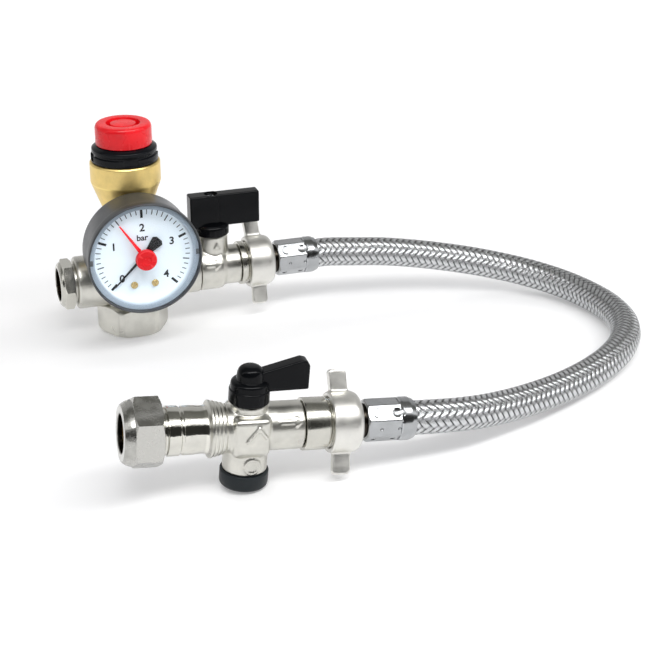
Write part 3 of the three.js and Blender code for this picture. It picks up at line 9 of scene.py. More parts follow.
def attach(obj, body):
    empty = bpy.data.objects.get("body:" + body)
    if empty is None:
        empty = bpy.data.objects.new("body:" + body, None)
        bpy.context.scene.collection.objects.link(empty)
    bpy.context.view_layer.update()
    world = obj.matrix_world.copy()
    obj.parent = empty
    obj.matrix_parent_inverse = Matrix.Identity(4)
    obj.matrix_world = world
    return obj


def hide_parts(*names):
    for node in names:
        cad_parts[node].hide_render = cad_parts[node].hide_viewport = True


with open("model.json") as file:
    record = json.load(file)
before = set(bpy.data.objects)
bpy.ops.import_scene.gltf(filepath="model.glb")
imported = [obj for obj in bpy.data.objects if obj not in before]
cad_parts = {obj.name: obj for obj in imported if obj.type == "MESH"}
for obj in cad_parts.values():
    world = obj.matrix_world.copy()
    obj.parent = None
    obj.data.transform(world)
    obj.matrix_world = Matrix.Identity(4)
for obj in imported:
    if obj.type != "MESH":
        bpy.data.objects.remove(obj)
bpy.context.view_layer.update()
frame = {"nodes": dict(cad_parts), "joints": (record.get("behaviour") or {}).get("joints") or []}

# Viewpoint: a long lens a little left of and above the loop, as in the catalogue picture.
# The manifold's upright axis, where it meets the table, is what everything is placed from.
joints = {joint["name"]: joint for joint in frame["joints"]}
foot = Vector(joints["relief_knob_turn"]["pos_m"])
foot.z = 0.0
viewpoint = bpy.data.cameras.new("viewpoint")
viewpoint.sensor_width = 36.0
viewpoint.lens = 89.04
viewpoint.clip_start = 0.01
camera = bpy.data.objects.new("viewpoint", viewpoint)
camera.location = foot + Vector((-0.1362, -0.69337, 0.31505))
camera.rotation_euler = (math.radians(90 - 24.22), 0.0, math.radians(-18.55))
bpy.context.scene.collection.objects.link(camera)
bpy.context.scene.camera = camera
bpy.context.scene.view_settings.view_transform = "Standard"

# Braided hose: a rubber tube in a woven stainless braid of twelve plaits each way, each plait
# a flat bundle of wires that passes over two and under two. Its ends are pressed into ferrules.
hose_d = 0.0140
hose_plaits = 12
hose_plait_pitch = 0.00315  # along the hose, from plait to plait
hose_relief = 0.00036
hose_loop = [
    (112, -2.2, 24.4), (126, -3.3, 23), (140, -5, 20.9), (154, -7.2, 18.4), (168, -10.6, 15.8), (181, -15.2, 13.2),
    (193, -21.6, 10.8), (203.2, -30.5, 8.9), (210.8, -42, 7.7), (215.5, -55.5, 7.15), (217.1, -70, 7.1),
    (215.3, -84.5, 7.1), (209.8, -98, 7.1), (201.0, -110, 7.1), (189.4, -120.6, 7.1), (175.6, -130, 7.2),
    (160.6, -138.4, 7.7), (145, -146, 8.9), (129, -153.2, 10.9), (113, -159.8, 13.6), (98, -164.6, 16.5),
]
rear_union = Vector(joints["rear_wing_nut_turn"]["pos_m"])
front_union = Vector(joints["front_wing_nut_turn"]["pos_m"])
front_along = Vector(joints["front_wing_nut_turn"]["axis"]).normalized()
ferrule_end = 0.0365  # from where a union starts
hose_start = ferrule_end - 0.004
straight_end = 0.006  # the hose leaves each ferrule straight


def curve_points(route, spacing):
    """Points at an even spacing on the smooth centripetal curve through the route."""
    span_steps = 60
    ends = [route[0] * 2 - route[1]] + route + [route[-1] * 2 - route[-2]]
    fine = []
    for a, b, c, d in zip(ends, ends[1:], ends[2:], ends[3:]):
        t1 = (b - a).length ** 0.5
        t2 = t1 + (c - b).length ** 0.5
        t3 = t2 + (d - c).length ** 0.5
        for i in range(span_steps):
            t = t1 + (t2 - t1) * i / span_steps
            ab = a.lerp(b, t / t1)
            bc = b.lerp(c, (t - t1) / (t2 - t1))
            cd = c.lerp(d, (t - t2) / (t3 - t2))
            fine.append(ab.lerp(bc, t / t2).lerp(bc.lerp(cd, (t - t1) / (t3 - t1)), (t - t1) / (t2 - t1)))
    fine.append(route[-1])
    length = sum((b - a).length for a, b in zip(fine, fine[1:]))
    steps = round(length / spacing)
    points, walked, k = [fine[0]], 0.0, 0
    for i in range(1, steps):
        goal = length * i / steps
        while walked + (fine[k + 1] - fine[k]).length < goal:
            walked += (fine[k + 1] - fine[k]).length
            k += 1
        points.append(fine[k].lerp(fine[k + 1], (goal - walked) / (fine[k + 1] - fine[k]).length))
    return points + [fine[-1]], length


def braid_height(around, along):
    """Height of the weave from 0 to 1, and which way the wires on top run, at a place counted in plaits."""
    half_plait = 0.47  # of the pitch, so that a narrow gap stays between plaits
    right, left = around + along, around - along
    tops = []
    for lay, cross, sign in ((right, left, 1), (left, right, -1)):
        number = round(lay)
        offset = abs(lay - number) / half_plait
        over = sign * math.cos(math.pi / 2 * (number + cross - 0.5))
        crown = math.sqrt(1 - offset * offset) if offset < 1 else 0.0
        tops.append((0.5 + 0.3 * over) * (0.45 + 0.55 * crown) + 0.12 * over if offset < 1 else 0.0)
    return max(tops), 1.0 if tops[0] >= tops[1] else 0.0


hose_stations = (hose_start, ferrule_end + 0.001, ferrule_end + straight_end)
hose_route = [rear_union + Vector((x, 0, 0)) for x in hose_stations]
hose_route += [foot + Vector(p) * 0.001 for p in hose_loop]
hose_route += [front_union + front_along * x for x in reversed(hose_stations)]
plait_steps = 8  # facets to a plait, around and along
hose_sides = hose_plaits * plait_steps
hose_path, hose_length = curve_points(hose_route, hose_plait_pitch / plait_steps)
hose_mesh = bmesh.new()
hose_uv = hose_mesh.loops.layers.uv.new("braid")
hose_top = hose_mesh.verts.layers.float.new("braid_top")
hose_way = hose_mesh.verts.layers.float.new("braid_way")
side = Vector((0, 0, 1))
hose_rings = []
for i, point in enumerate(hose_path):
    ahead = (hose_path[min(i + 1, len(hose_path) - 1)] - hose_path[max(i - 1, 0)]).normalized()
    side = (side - ahead * side.dot(ahead)).normalized()
    across = ahead.cross(side)
    ring = []
    for j in range(hose_sides):
        angle = 2 * math.pi * j / hose_sides
        top, way = braid_height(j / plait_steps, i / plait_steps)
        radius = hose_d / 2 - hose_relief * (1 - top)
        vert = hose_mesh.verts.new(point + (side * math.cos(angle) + across * math.sin(angle)) * radius)
        vert[hose_top] = top
        vert[hose_way] = way
        ring.append(vert)
    hose_rings.append(ring)
for i, (ring, after) in enumerate(zip(hose_rings, hose_rings[1:])):
    for j in range(hose_sides):
        k = (j + 1) % hose_sides
        face = hose_mesh.faces.new((ring[j], ring[k], after[k], after[j]))
        face.smooth = True
        for loop, u, v in zip(face.loops, (j, j + 1, j + 1, j), (i, i, i + 1, i + 1)):
            loop[hose_uv].uv = (u / plait_steps, v / plait_steps)
hose_mesh.faces.new(reversed(hose_rings[0]))
hose_mesh.faces.new(hose_rings[-1])


def finish_nodes(name):
    """A new material, its node tree, and a function that adds a node to it and sets its inputs."""
    material = bpy.data.materials.new(name)
    material.use_nodes = True
    tree = material.node_tree
    tree.nodes.clear()

    def add(kind, *links, **values):
        node = tree.nodes.new(kind)
        for key, value in values.items():
            if key in node.inputs:
                node.inputs[key].default_value = value
            else:
                setattr(node, key, value)
        for key, source in links:
            tree.links.new(source, node.inputs[key])
        return node

    return material, tree, add


def surfaced(tree, add, links=(), **values):
    """Ends a finish in its shader."""
    shader = add("ShaderNodeBsdfPrincipled", *links, **values)
    add("ShaderNodeOutputMaterial", ("Surface", shader.outputs[0]))
    return shader


def braid_finish():
    """Bright wires along each plait. The colour goes near black where the weave dips, which is painted shade, and
    between the plaits, where the black rubber tube shows.
    """
    plait_wires = 7
    material, tree, add = finish_nodes("stainless_braid")
    top = add("ShaderNodeAttribute", attribute_name="braid_top")
    way = add("ShaderNodeAttribute", attribute_name="braid_way")
    cells = add("ShaderNodeUVMap", uv_map="braid")
    apart = add("ShaderNodeSeparateXYZ", ("Vector", cells.outputs[0]))
    right = add("ShaderNodeMath", (0, apart.outputs[0]), (1, apart.outputs[1]), operation="ADD")
    left = add("ShaderNodeMath", (0, apart.outputs[0]), (1, apart.outputs[1]), operation="SUBTRACT")
    lay = add("ShaderNodeMix", (0, way.outputs["Fac"]), (2, left.outputs[0]), (3, right.outputs[0]))
    turns = add("ShaderNodeMath", (0, lay.outputs[0]), operation="MULTIPLY")
    turns.inputs[1].default_value = 2 * math.pi * plait_wires
    wires = add("ShaderNodeMath", (0, turns.outputs[0]), operation="SINE")
    bump = add("ShaderNodeBump", ("Height", wires.outputs[0]), Strength=0.35, Distance=0.00012)
    # Painted shade: the lower parts of the weave darken towards near black.
    weave_shade = add("ShaderNodeMapRange", ("Value", top.outputs["Fac"]))
    weave_shade.inputs["From Min"].default_value = 0.25
    weave_shade.inputs["From Max"].default_value = 0.75
    place = add("ShaderNodeTexCoord")
    uneven = add("ShaderNodeTexNoise", ("Vector", place.outputs["Object"]), Scale=420.0, Detail=2.0)
    tone = add("ShaderNodeMix", (0, uneven.outputs["Fac"]), data_type="RGBA")
    tone.inputs[6].default_value = (0.52, 0.53, 0.54, 1)
    tone.inputs[7].default_value = (0.80, 0.81, 0.82, 1)
    shade = add("ShaderNodeMix", (0, weave_shade.outputs[0]), (7, tone.outputs[2]), data_type="RGBA")
    shade.inputs[6].default_value = (0.012, 0.013, 0.014, 1)
    surfaced(tree, add, [("Base Color", shade.outputs[2]), ("Normal", bump.outputs[0])], Metallic=1.0, Roughness=0.22)
    return material


def as_piece(name, mesh, material, body, slot, *nodes, place=None):
    """Makes the shape a piece: it rides on its body, and stands for the nodes that it replaces."""
    crease = math.radians(32)
    data = bpy.data.meshes.new(name)
    if place is not None:
        bmesh.ops.transform(mesh, matrix=place, verts=mesh.verts)
    mesh.to_mesh(data)
    mesh.free()
    if place is not None:
        data.shade_smooth()
        data.set_sharp_from_angle(angle=crease)
    data.materials.append(material)
    made = bpy.data.objects.new(name, data)
    bpy.context.scene.collection.objects.link(made)
    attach(made, body)
    if nodes:
        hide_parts(*nodes)
    return made


hose = as_piece("hose", hose_mesh, braid_finish(), "loop", "braid", "braided_hose")

# Hose tails and ferrules: at each end a turned brass tail with barbs goes into the hose, and a
# thin steel ferrule is pressed flat round it in an eight-sided die, which leaves its dimples.
stood = {  # turns a form that stands along Z
    "Z": Matrix.Identity(4),
    "X": Matrix.Rotation(math.radians(90), 4, "Y"),
    "Y": Matrix.Rotation(math.radians(-90), 4, "X"),
    "-Y": Matrix.Rotation(math.radians(90), 4, "X"),
}


def axes_frame(origin, along, up):
    """Carries a form drawn in millimetres, with X along a pipe and Z up, to a pipe's place."""
    x, z = along.normalized(), up.normalized()
    turn = Matrix((x, z.cross(x), z)).transposed().to_4x4()
    return Matrix.Translation(origin) @ turn @ Matrix.Scale(0.001, 4)


def turned(profile, axis="Z", steps=64):
    """A form turned about an axis, from (place along it, radius, rounding of the corner) points."""
    mesh = bmesh.new()
    corners = [mesh.verts.new((point[1], 0, point[0])) for point in profile]
    hollow = profile[0][1] > 0 and profile[-1][1] > 0
    for start, end in zip(corners, corners[1:] + corners[:1] if hollow else corners[1:]):
        mesh.edges.new((start, end))
    for corner, point in zip(corners, profile):
        if len(point) > 2:
            bmesh.ops.bevel(mesh, geom=[corner], offset=point[2], offset_type="OFFSET", affect="VERTICES", segments=3,
                            profile=0.5, material=-1)
    bmesh.ops.spin(mesh, geom=mesh.verts[:] + mesh.edges[:], cent=(0, 0, 0), axis=(0, 0, 1), angle=2 * math.pi,
                   steps=steps, use_merge=True)
    bmesh.ops.remove_doubles(mesh, verts=mesh.verts, dist=1e-5)
    bmesh.ops.recalc_face_normals(mesh, faces=mesh.faces)
    bmesh.ops.transform(mesh, matrix=stood[axis], verts=mesh.verts)
    return mesh


def rod(low, high, radius, axis="Z", steps=64, ease=None):
    """A plain round bar, or the drill for a bore. The edge at its far end can be eased."""
    far = (high, radius, ease) if ease else (high, radius)
    return turned([(low, 0), (low, radius), far, (high, 0)], axis, steps)


def cast(forms, grain, passes):
    """Forms run together into one casting, with soft edges and filled corners."""
    whole = bmesh.new()
    for form in forms:
        data = bpy.data.meshes.new("form")
        form.to_mesh(data)
        form.free()
        whole.from_mesh(data)
        bpy.data.meshes.remove(data)
    return worked(whole, ("REMESH", {"mode": "VOXEL", "voxel_size": grain}),
                  ("SMOOTH", {"iterations": passes, "factor": 0.5}))


front_up = -Vector(joints["front_lever_turn"]["axis"])  # the lever turns clockwise seen from above
union_frames = {
    "rear": Matrix.Translation(rear_union) @ Matrix.Scale(0.001, 4),
    "front": axes_frame(front_union, front_along, front_up),
}
tail_bore_r, tail_flange_r, tail_neck_r, barb_root_r, barb_r = 3, 9.6, 6.6, 3.9, 4.4
tail_from, tail_flange_t, first_barb, tail_end = 10, 1.7, 17.8, 34.5
barbs, barb_pitch = 3, 5.2
tail_profile = [(tail_from, tail_bore_r), (tail_from, tail_flange_r), (tail_from + tail_flange_t, tail_flange_r),
                (tail_from + tail_flange_t, tail_neck_r), (first_barb, tail_neck_r), (first_barb, barb_root_r)]
for barb in range(barbs):
    barb_at = first_barb + 1 + barb * barb_pitch
    tail_profile += [(barb_at, barb_root_r), (barb_at + 0.2, barb_r)]
tail_profile += [(tail_end, barb_root_r), (tail_end, tail_bore_r)]
crimp_sides, crimp_across, crimp_end = 8, 16.0, 30.7
ferrule_from, ferrule_to, ferrule_r, bead_r = 16.2, 36.5, 8.55, 8.75
hose_room_r, neck_room_r = 7.3, 6.9
upper_flat = Vector((0, -math.sqrt(0.5), math.sqrt(0.5)))  # the way that the flat in front of the top one faces
lower_flat = Vector((0, -math.sqrt(0.5), -math.sqrt(0.5)))


def flats(sides, across, turned_by=0.0):
    """The outline of a bar with flat sides, one of them facing -Y when it isn't turned."""
    corner = across / 2 / math.cos(math.pi / sides)
    first = -math.pi / 2 + math.pi / sides + math.radians(turned_by)
    return [(corner * math.cos(first + 2 * math.pi * i / sides), corner * math.sin(first + 2 * math.pi * i / sides))
            for i in range(sides)]


def bar(outline, low, high, axis="Z", ease=0.0):
    """A straight bar between two heights along an axis, its edges eased."""
    mesh = bmesh.new()
    end = mesh.faces.new([mesh.verts.new((x, y, low)) for x, y in outline])
    grown = bmesh.ops.extrude_face_region(mesh, geom=[end])["geom"]
    bmesh.ops.translate(mesh, vec=(0, 0, high - low), verts=[v for v in grown if isinstance(v, bmesh.types.BMVert)])
    if ease:
        bmesh.ops.bevel(mesh, geom=mesh.edges[:], offset=ease, offset_type="OFFSET", affect="EDGES", segments=3,
                        profile=0.5, material=-1)
    bmesh.ops.recalc_face_normals(mesh, faces=mesh.faces)
    bmesh.ops.transform(mesh, matrix=stood[axis], verts=mesh.verts)
    return mesh


def block(low, high, ease=0.0):
    """A box between two corners, its edges eased."""
    outline = [(low[0], low[1]), (high[0], low[1]), (high[0], high[1]), (low[0], high[1])]
    return bar(outline, low[2], high[2], ease=ease)


def ball(centre, radius):
    mesh = bmesh.new()
    bmesh.ops.create_uvsphere(mesh, u_segments=32, v_segments=16, radius=radius)
    return moved(mesh, Matrix.Translation(centre))


def moved(mesh, matrix):
    bmesh.ops.transform(mesh, matrix=matrix, verts=mesh.verts)
    return mesh


def worked(mesh, *steps):
    """The mesh after some modifiers, each given as its kind and its settings, with meshes as their objects."""
    def as_object(form):
        data = bpy.data.meshes.new("blank")
        form.to_mesh(data)
        form.free()
        made = bpy.data.objects.new("blank", data)
        bpy.context.scene.collection.objects.link(made)
        return made

    blank = as_object(mesh)
    used = [blank]
    for kind, settings in steps:
        modifier = blank.modifiers.new(kind, kind)
        for key, value in settings.items():
            if isinstance(value, bmesh.types.BMesh):
                value = as_object(value)
                used.append(value)
            setattr(modifier, key, value)
    done = bmesh.new()
    done.from_object(blank, bpy.context.evaluated_depsgraph_get())
    for made in used:
        data = made.data
        bpy.data.objects.remove(made)
        bpy.data.meshes.remove(data)
    return done


def combined(mesh, operation, *others):
    return worked(mesh, *[("BOOLEAN", {"operation": operation, "solver": "MANIFOLD", "object": other})
                          for other in others])


def cut(mesh, *tools):
    return combined(mesh, "DIFFERENCE", *tools)


def fused(mesh, *others):
    return combined(mesh, "UNION", *others)


def common(mesh, *others):
    return combined(mesh, "INTERSECT", *others)


def spread(add, source, low, high, to_low, to_high):
    """A value carried from one range to another."""
    node = add("ShaderNodeMapRange", ("Value", source))
    for key, value in zip(("From Min", "From Max", "To Min", "To Max"), (low, high, to_low, to_high)):
        node.inputs[key].default_value = value
    return node.outputs[0]


def tinted(add, factor, first, second):
    """A colour between two, each a socket or plain red, green and blue."""
    node = add("ShaderNodeMix", (0, factor), data_type="RGBA")
    for key, colour in ((6, first), (7, second)):
        if isinstance(colour, tuple):
            node.inputs[key].default_value = (*colour, 1)
        else:
            node.id_data.links.new(colour, node.inputs[key])
    return node.outputs[2]


def metal_finish(name, colour, rough, blotch, skin, patch=150.0):
    """Metal whose tone and gloss drift in soft patches, with a fine skin, edges worn bright, and painted shade where
    the mesh is marked.
    """
    material, tree, add = finish_nodes(name)
    place = add("ShaderNodeTexCoord").outputs["Object"]
    broad = add("ShaderNodeTexNoise", ("Vector", place), Scale=patch, Detail=3.0, Roughness=0.6).outputs["Fac"]
    fine = add("ShaderNodeTexNoise", ("Vector", place), Scale=1500.0, Detail=2.0).outputs["Fac"]
    dull = tuple(c * (1 - blotch) for c in colour)
    bright = tuple(min(1.0, c * (1 + blotch)) for c in colour)
    tone = tinted(add, spread(add, broad, 0.3, 0.7, 0, 1), dull, bright)
    edge = add("ShaderNodeNewGeometry").outputs["Pointiness"]
    worn_edges_and_shade = tinted(add, spread(add, edge, 0.53, 0.62, 0, 0.7), tone, tuple(min(1.0, c * 1.25) for c in colour))
    # Marked vertices are painted a near-black brown: painted shade inside bores and in the gap behind a union nut.
    painted_shade = add("ShaderNodeAttribute", attribute_name="painted_shade").outputs["Fac"]
    worn_edges_and_shade = tinted(add, painted_shade, worn_edges_and_shade, (0.035, 0.030, 0.024))
    gloss = spread(add, broad, 0.3, 0.7, rough[0], rough[1])
    polish = add("ShaderNodeAttribute", attribute_name="polish").outputs["Fac"]
    turned_gloss = add("ShaderNodeMix", (0, polish), (2, gloss))
    turned_gloss.inputs[3].default_value = 0.09
    waves = add("ShaderNodeTexNoise", ("Vector", place), Scale=420.0, Detail=2.0).outputs["Fac"]
    rise = add("ShaderNodeMath", (0, fine), (1, waves), operation="ADD").outputs[0]
    bump = add("ShaderNodeBump", ("Height", rise), Strength=0.5, Distance=skin).outputs[0]
    surfaced(tree, add, [("Base Color", worn_edges_and_shade), ("Roughness", turned_gloss.outputs[0]), ("Normal", bump)],
             Metallic=1.0)
    return material


def evened(made):
    """Shades a piece's flat faces evenly, up to its rounded edges."""
    made.modifiers.new("even_flats", "WEIGHTED_NORMAL").keep_sharp = True
    return made


def deepened(mesh, radius, past=-1e9):
    """Marks the vertices nearer the X axis than a radius, and past a place along it, for the near-black painted shade
    of the finish.
    """
    layer = mesh.verts.layers.float.new("painted_shade")
    for vert in mesh.verts:
        vert[layer] = 1.0 if math.hypot(vert.co.y, vert.co.z) < radius and vert.co.x > past else 0.0
    return mesh


turned_brass = metal_finish("turned_brass", (0.66, 0.49, 0.22), (0.18, 0.30), 0.08, 0.00002)
pressed_steel = metal_finish("pressed_steel", (0.43, 0.44, 0.45), (0.15, 0.26), 0.10, 0.00002)
for side, union_at in union_frames.items():
    # Nearly all of the tail, inside its flange's rim, is marked for painted shade, for the dark gap between nut and
    # ferrule.
    tail = deepened(turned(tail_profile, "X", 48), tail_flange_r - 0.6)
    as_piece(side + "_tail", tail, turned_brass, "loop", "brass", side + "_hose_tail", place=union_at)
    shell = turned([(ferrule_from, 0), (ferrule_from, 7.7, 0.3), (17.1, ferrule_r, 0.3), (30.6, ferrule_r),
                    (31.3, bead_r, 0.2), (34.3, bead_r, 0.4), (ferrule_to, 7.95, 0.3), (ferrule_to, 0)], "X", 64)
    die = fused(bar(flats(crimp_sides, crimp_across), ferrule_from - 1.2, crimp_end, "X"), rod(30.0, 38, 10, "X", 32))
    shell = cut(common(shell, die), turned([(15, 0), (15, neck_room_r), (first_barb, neck_room_r),
                                            (first_barb, hose_room_r), (38, hose_room_r), (38, 0)], "X", 48))
    dents = [ball(Vector((28.3, 0, 0)) + upper_flat * 12.6, 5.1)]
    dents += [ball(Vector((along, -8.25, -0.4)), 0.75) for along in (21.8, 29.2)]
    dents += [ball(Vector((along, 0, 0)) + lower_flat * 8.2, 1.1) for along in (19.5, 27.5)]
    notch = turned([(0, 1.7), (0, 2.3), (1.6, 2.3), (1.6, 1.7)], "Z", 32)
    notch = cut(notch, block((0.4, -4, -1), (4, 4, 3)))
    leaned = Matrix.Translation(Vector((20.6, 0, 0)) + upper_flat * 7.35) @ Matrix.Rotation(math.radians(45), 4, "X")
    shell = cut(shell, *dents, moved(notch, leaned))
    evened(as_piece(side + "_crimp", shell, pressed_steel, "loop", "steel", side + "_ferrule", place=union_at))

# Union nuts: cast brass, nickel plated, each with two ears for the fingers. They draw the hose
# tails against their rubber washers on the valves' tailpieces.
plated = metal_finish("nickel_plate_cast", (0.80, 0.79, 0.75), (0.36, 0.48), 0.06, 0.00003)
union_turn = Matrix.Rotation(math.radians(-25), 4, "X")  # as the nuts stand in the picture
union_from, union_to, union_r = 1.6, 14.2, 12.1
union_thread_r, union_shoulder, tail_hole_r = 10.1, 12.0, 6.9
union_profile = [(union_from, 0), (union_from, union_r, 0.5), (11.4, union_r, 1.0), (13.3, 11.1, 0.7),
                 (union_to, 9.4, 0.3), (union_to, 0)]
union_bore = [(1.0, 0), (1.0, 10.6), (union_from, 10.6), (2.1, union_thread_r), (union_shoulder, union_thread_r),
              (union_shoulder, tail_hole_r), (15, tail_hole_r), (15, 0)]
ear_reach, ear_t = 20.7, 4.0
ear_outline = [(3.4, 8), (10.4, 8), (9.8, 19.3), (8.7, ear_reach), (3.4, ear_reach), (2.5, 19.8)]
for side, union_at in union_frames.items():
    ears = []
    for stand in (90, 270):
        ear = bar(ear_outline, -ear_t / 2, ear_t / 2, ease=0.45)
        ears.append(moved(ear, Matrix.Rotation(math.radians(stand), 4, "X")))
    nut = cast([turned(union_profile, "X", 72)] + ears, 0.42, 6)
    nut = cut(nut, turned(union_bore, "X", 64))
    as_piece(side + "_union_nut", nut, plated, side + "_wing_nut", "nickel_plate", side + "_wing_nut",
             place=union_at @ union_turn)

# Tailpieces: turned and plated, screwed into the ends of the two valves. Their threads carry the
# union nuts, and a plain flange shows between the valve and the nut.
turned_nickel = metal_finish("nickel_plate_turned", (0.60, 0.59, 0.54), (0.15, 0.25), 0.06, 0.00001)
water_r, screwed_from, screwed_r = 4.5, 8.5, 7.0
root_r, crest_r, union_pitch = 9.3, 9.8, 1.25
rear_centre = rear_union - Vector((0.0147, 0, 0))
front_centre = front_union - front_along * 0.0307
at_rear = Matrix.Translation(rear_centre) @ Matrix.Scale(0.001, 4)
at_front = axes_frame(front_centre, front_along, front_up)
for side, frame_at, flange_from, flange_end, flange_r in (("rear", at_rear, 12.4, 14.7, 10.4),
                                                          ("front", at_front, 21.5, 30.7, 10.45)):
    profile = [(screwed_from, water_r), (screwed_from, screwed_r), (flange_from, screwed_r),
               (flange_from, flange_r, 0.25), (flange_end, flange_r, 0.25), (flange_end, root_r + 0.05)]
    for turn in range(5):
        thread = flange_end + 0.7 + turn * union_pitch
        profile += [(thread, root_r), (thread + 0.5, crest_r), (thread + 0.75, crest_r)]
    profile += [(flange_end + 8.1, 9.0), (flange_end + 8.1, water_r)]
    as_piece(side + "_tailpiece", turned(profile, "X", 72), turned_nickel, "loop", "nickel_plate",
             side + "_valve_tailpiece", place=frame_at)

# Front valve: a forged brass body, nickel plated. From left to right it has its threaded mouth,
# the plain neck that holds the check valves, four turned ridges, the valve block and a barrel.
satin_nickel = metal_finish("nickel_plate_satin", (0.66, 0.65, 0.60), (0.26, 0.38), 0.12, 0.00004, 110.0)


def arrow(length, width, thick, head, barbs):
    """A flat arrow that points along X, centred, from z 0 to its thickness."""
    tip, neck = length / 2, length / 2 - head
    outline = [(-tip, -width), (neck, -width), (neck, -barbs), (tip, 0), (neck, barbs), (neck, width), (-tip, width)]
    return bar(outline, 0, thick, ease=0.12)


def lean(angle, radius, along=0.0):
    """Puts a flat mark on the side of a pipe along X, turned up from the front by an angle."""
    face = Matrix.Rotation(math.radians(90 - angle), 4, "X") @ Matrix.Translation((0, 0, radius))
    return Matrix.Translation((along, 0, 0)) @ face


block_half, block_front, block_low, block_top = 7.4, 10.8, -9, 7.8
barrel_r, barrel_end, stem_boss_r, stem_boss_top = 9.6, 21.2, 7.5, 11.0
drain_boss_r, drain_boss_end, drain_thread_r, drain_thread_end = 8.8, -17.3, 7.5, -20.7
ball_room_r, stem_hole_r, check_room_r, drain_hole_r = 7.3, 3.3, 7.2, 4
pipe_r, pipe_mouth_r, pipe_stop = 7.65, 8.9, -31.5
mouth, mouth_root_r, mouth_crest_r, mouth_pitch = -46, 9.7, 10.3, 1.45
ridges, first_ridge, first_crest_r, ridge_pitch = 4, -15.1, 11.3, 1.6
chevron = [(-3.0, 1.6), (-1.7, 1.6), (2.2, -3.3), (4.9, 0.3), (5.9, -0.3), (2.3, -5.2)]
round_mark = turned([(0, 0), (0, 3.4), (1.0, 3.4, 0.3), (1.0, 2.5, 0.2), (0.6, 2.4), (0.6, 0)], "Z", 40)
front_forms = [
    common(block((-block_half, -block_front, block_low), (block_half, block_front, block_top), 2.4),
           turned([(-block_half, 0), (-block_half, 12.4, 2.2), (block_half, 12.4, 2.2), (block_half, 0)], "X", 64)),
    rod(-9.5, barrel_end, barrel_r, "X", 72, ease=0.3),
    rod(0, stem_boss_top, stem_boss_r, ease=0.5),
    rod(0, drain_boss_end, drain_boss_r, ease=0.5),
    moved(arrow(9.6, 0.9, 0.8, 3.4, 2.1), lean(33, 9.1, 15.8)),
    bar(chevron, -block_front - 0.9, -9.9, "Y", 0.1),
    moved(round_mark, Matrix.Translation((0.8, -8.3, -12.9)) @ Matrix.Rotation(math.radians(90), 4, "X")),
]
front_body = cast(front_forms, 0.4, 5)
neck = [(mouth, 0), (mouth, mouth_root_r, 0.3)]
for i in range(8):
    thread = mouth + 0.4 + i * mouth_pitch
    neck += [(thread, mouth_crest_r), (thread + 0.3, mouth_crest_r), (thread + 0.7, mouth_root_r)]
neck += [(-33.6, 9.7), (-33.3, 9.1, 0.2), (-32.4, 9.1, 0.2), (-32.0, 9.75, 0.3), (-27.4, 9.75, 0.3), (-27.0, 9.2, 0.2),
         (-26.2, 9.2, 0.2), (-25.8, 9.6, 0.2),
         (-22.6, 9.6, 1.5), (-18.1, 9.2, 1.2), (-16.5, 9.6, 0.5)]
for i in range(ridges):
    crest = first_crest_r - 0.4 * i
    at = first_ridge + ridge_pitch * i
    neck += [(at - 0.6, crest, 0.35), (at + 0.35, crest, 0.3), (at + 0.75, crest - 0.5, 0.2)]
neck += [(-9.0, 9.5), (-6, 9.4), (-6, 0)]
front_body = fused(front_body, turned(neck, "X", 72), rod(-16.5, drain_thread_end, drain_thread_r, "Z", 40))
front_body = cut(
    front_body,
    turned([(mouth - 1, 0), (mouth - 1, pipe_mouth_r), (mouth, pipe_mouth_r), (mouth + 3.2, pipe_r),
            (pipe_stop, pipe_r), (pipe_stop, check_room_r), (-14.2, check_room_r), (-14.2, water_r), (-1, water_r),
            (-1, 0)], "X", 64),
    rod(-8.5, barrel_end + 1, ball_room_r, "X", 64),
    rod(0, stem_boss_top + 1, stem_hole_r, "Z", 32),
    rod(drain_thread_end - 1, -6.7, drain_hole_r, "Z", 32),
)
turned_layer = front_body.verts.layers.float.new("polish")
for vert in front_body.verts:
    vert[turned_layer] = 1.0 if vert.co.x < first_ridge - 1.7 else 0.0
# Everything within 8.6 mm of the pipe's axis, in its bores, gets painted shade.
as_piece("front_valve", deepened(front_body, 8.6), satin_nickel, "loop", "nickel_plate", "front_valve_body",
         place=at_front)

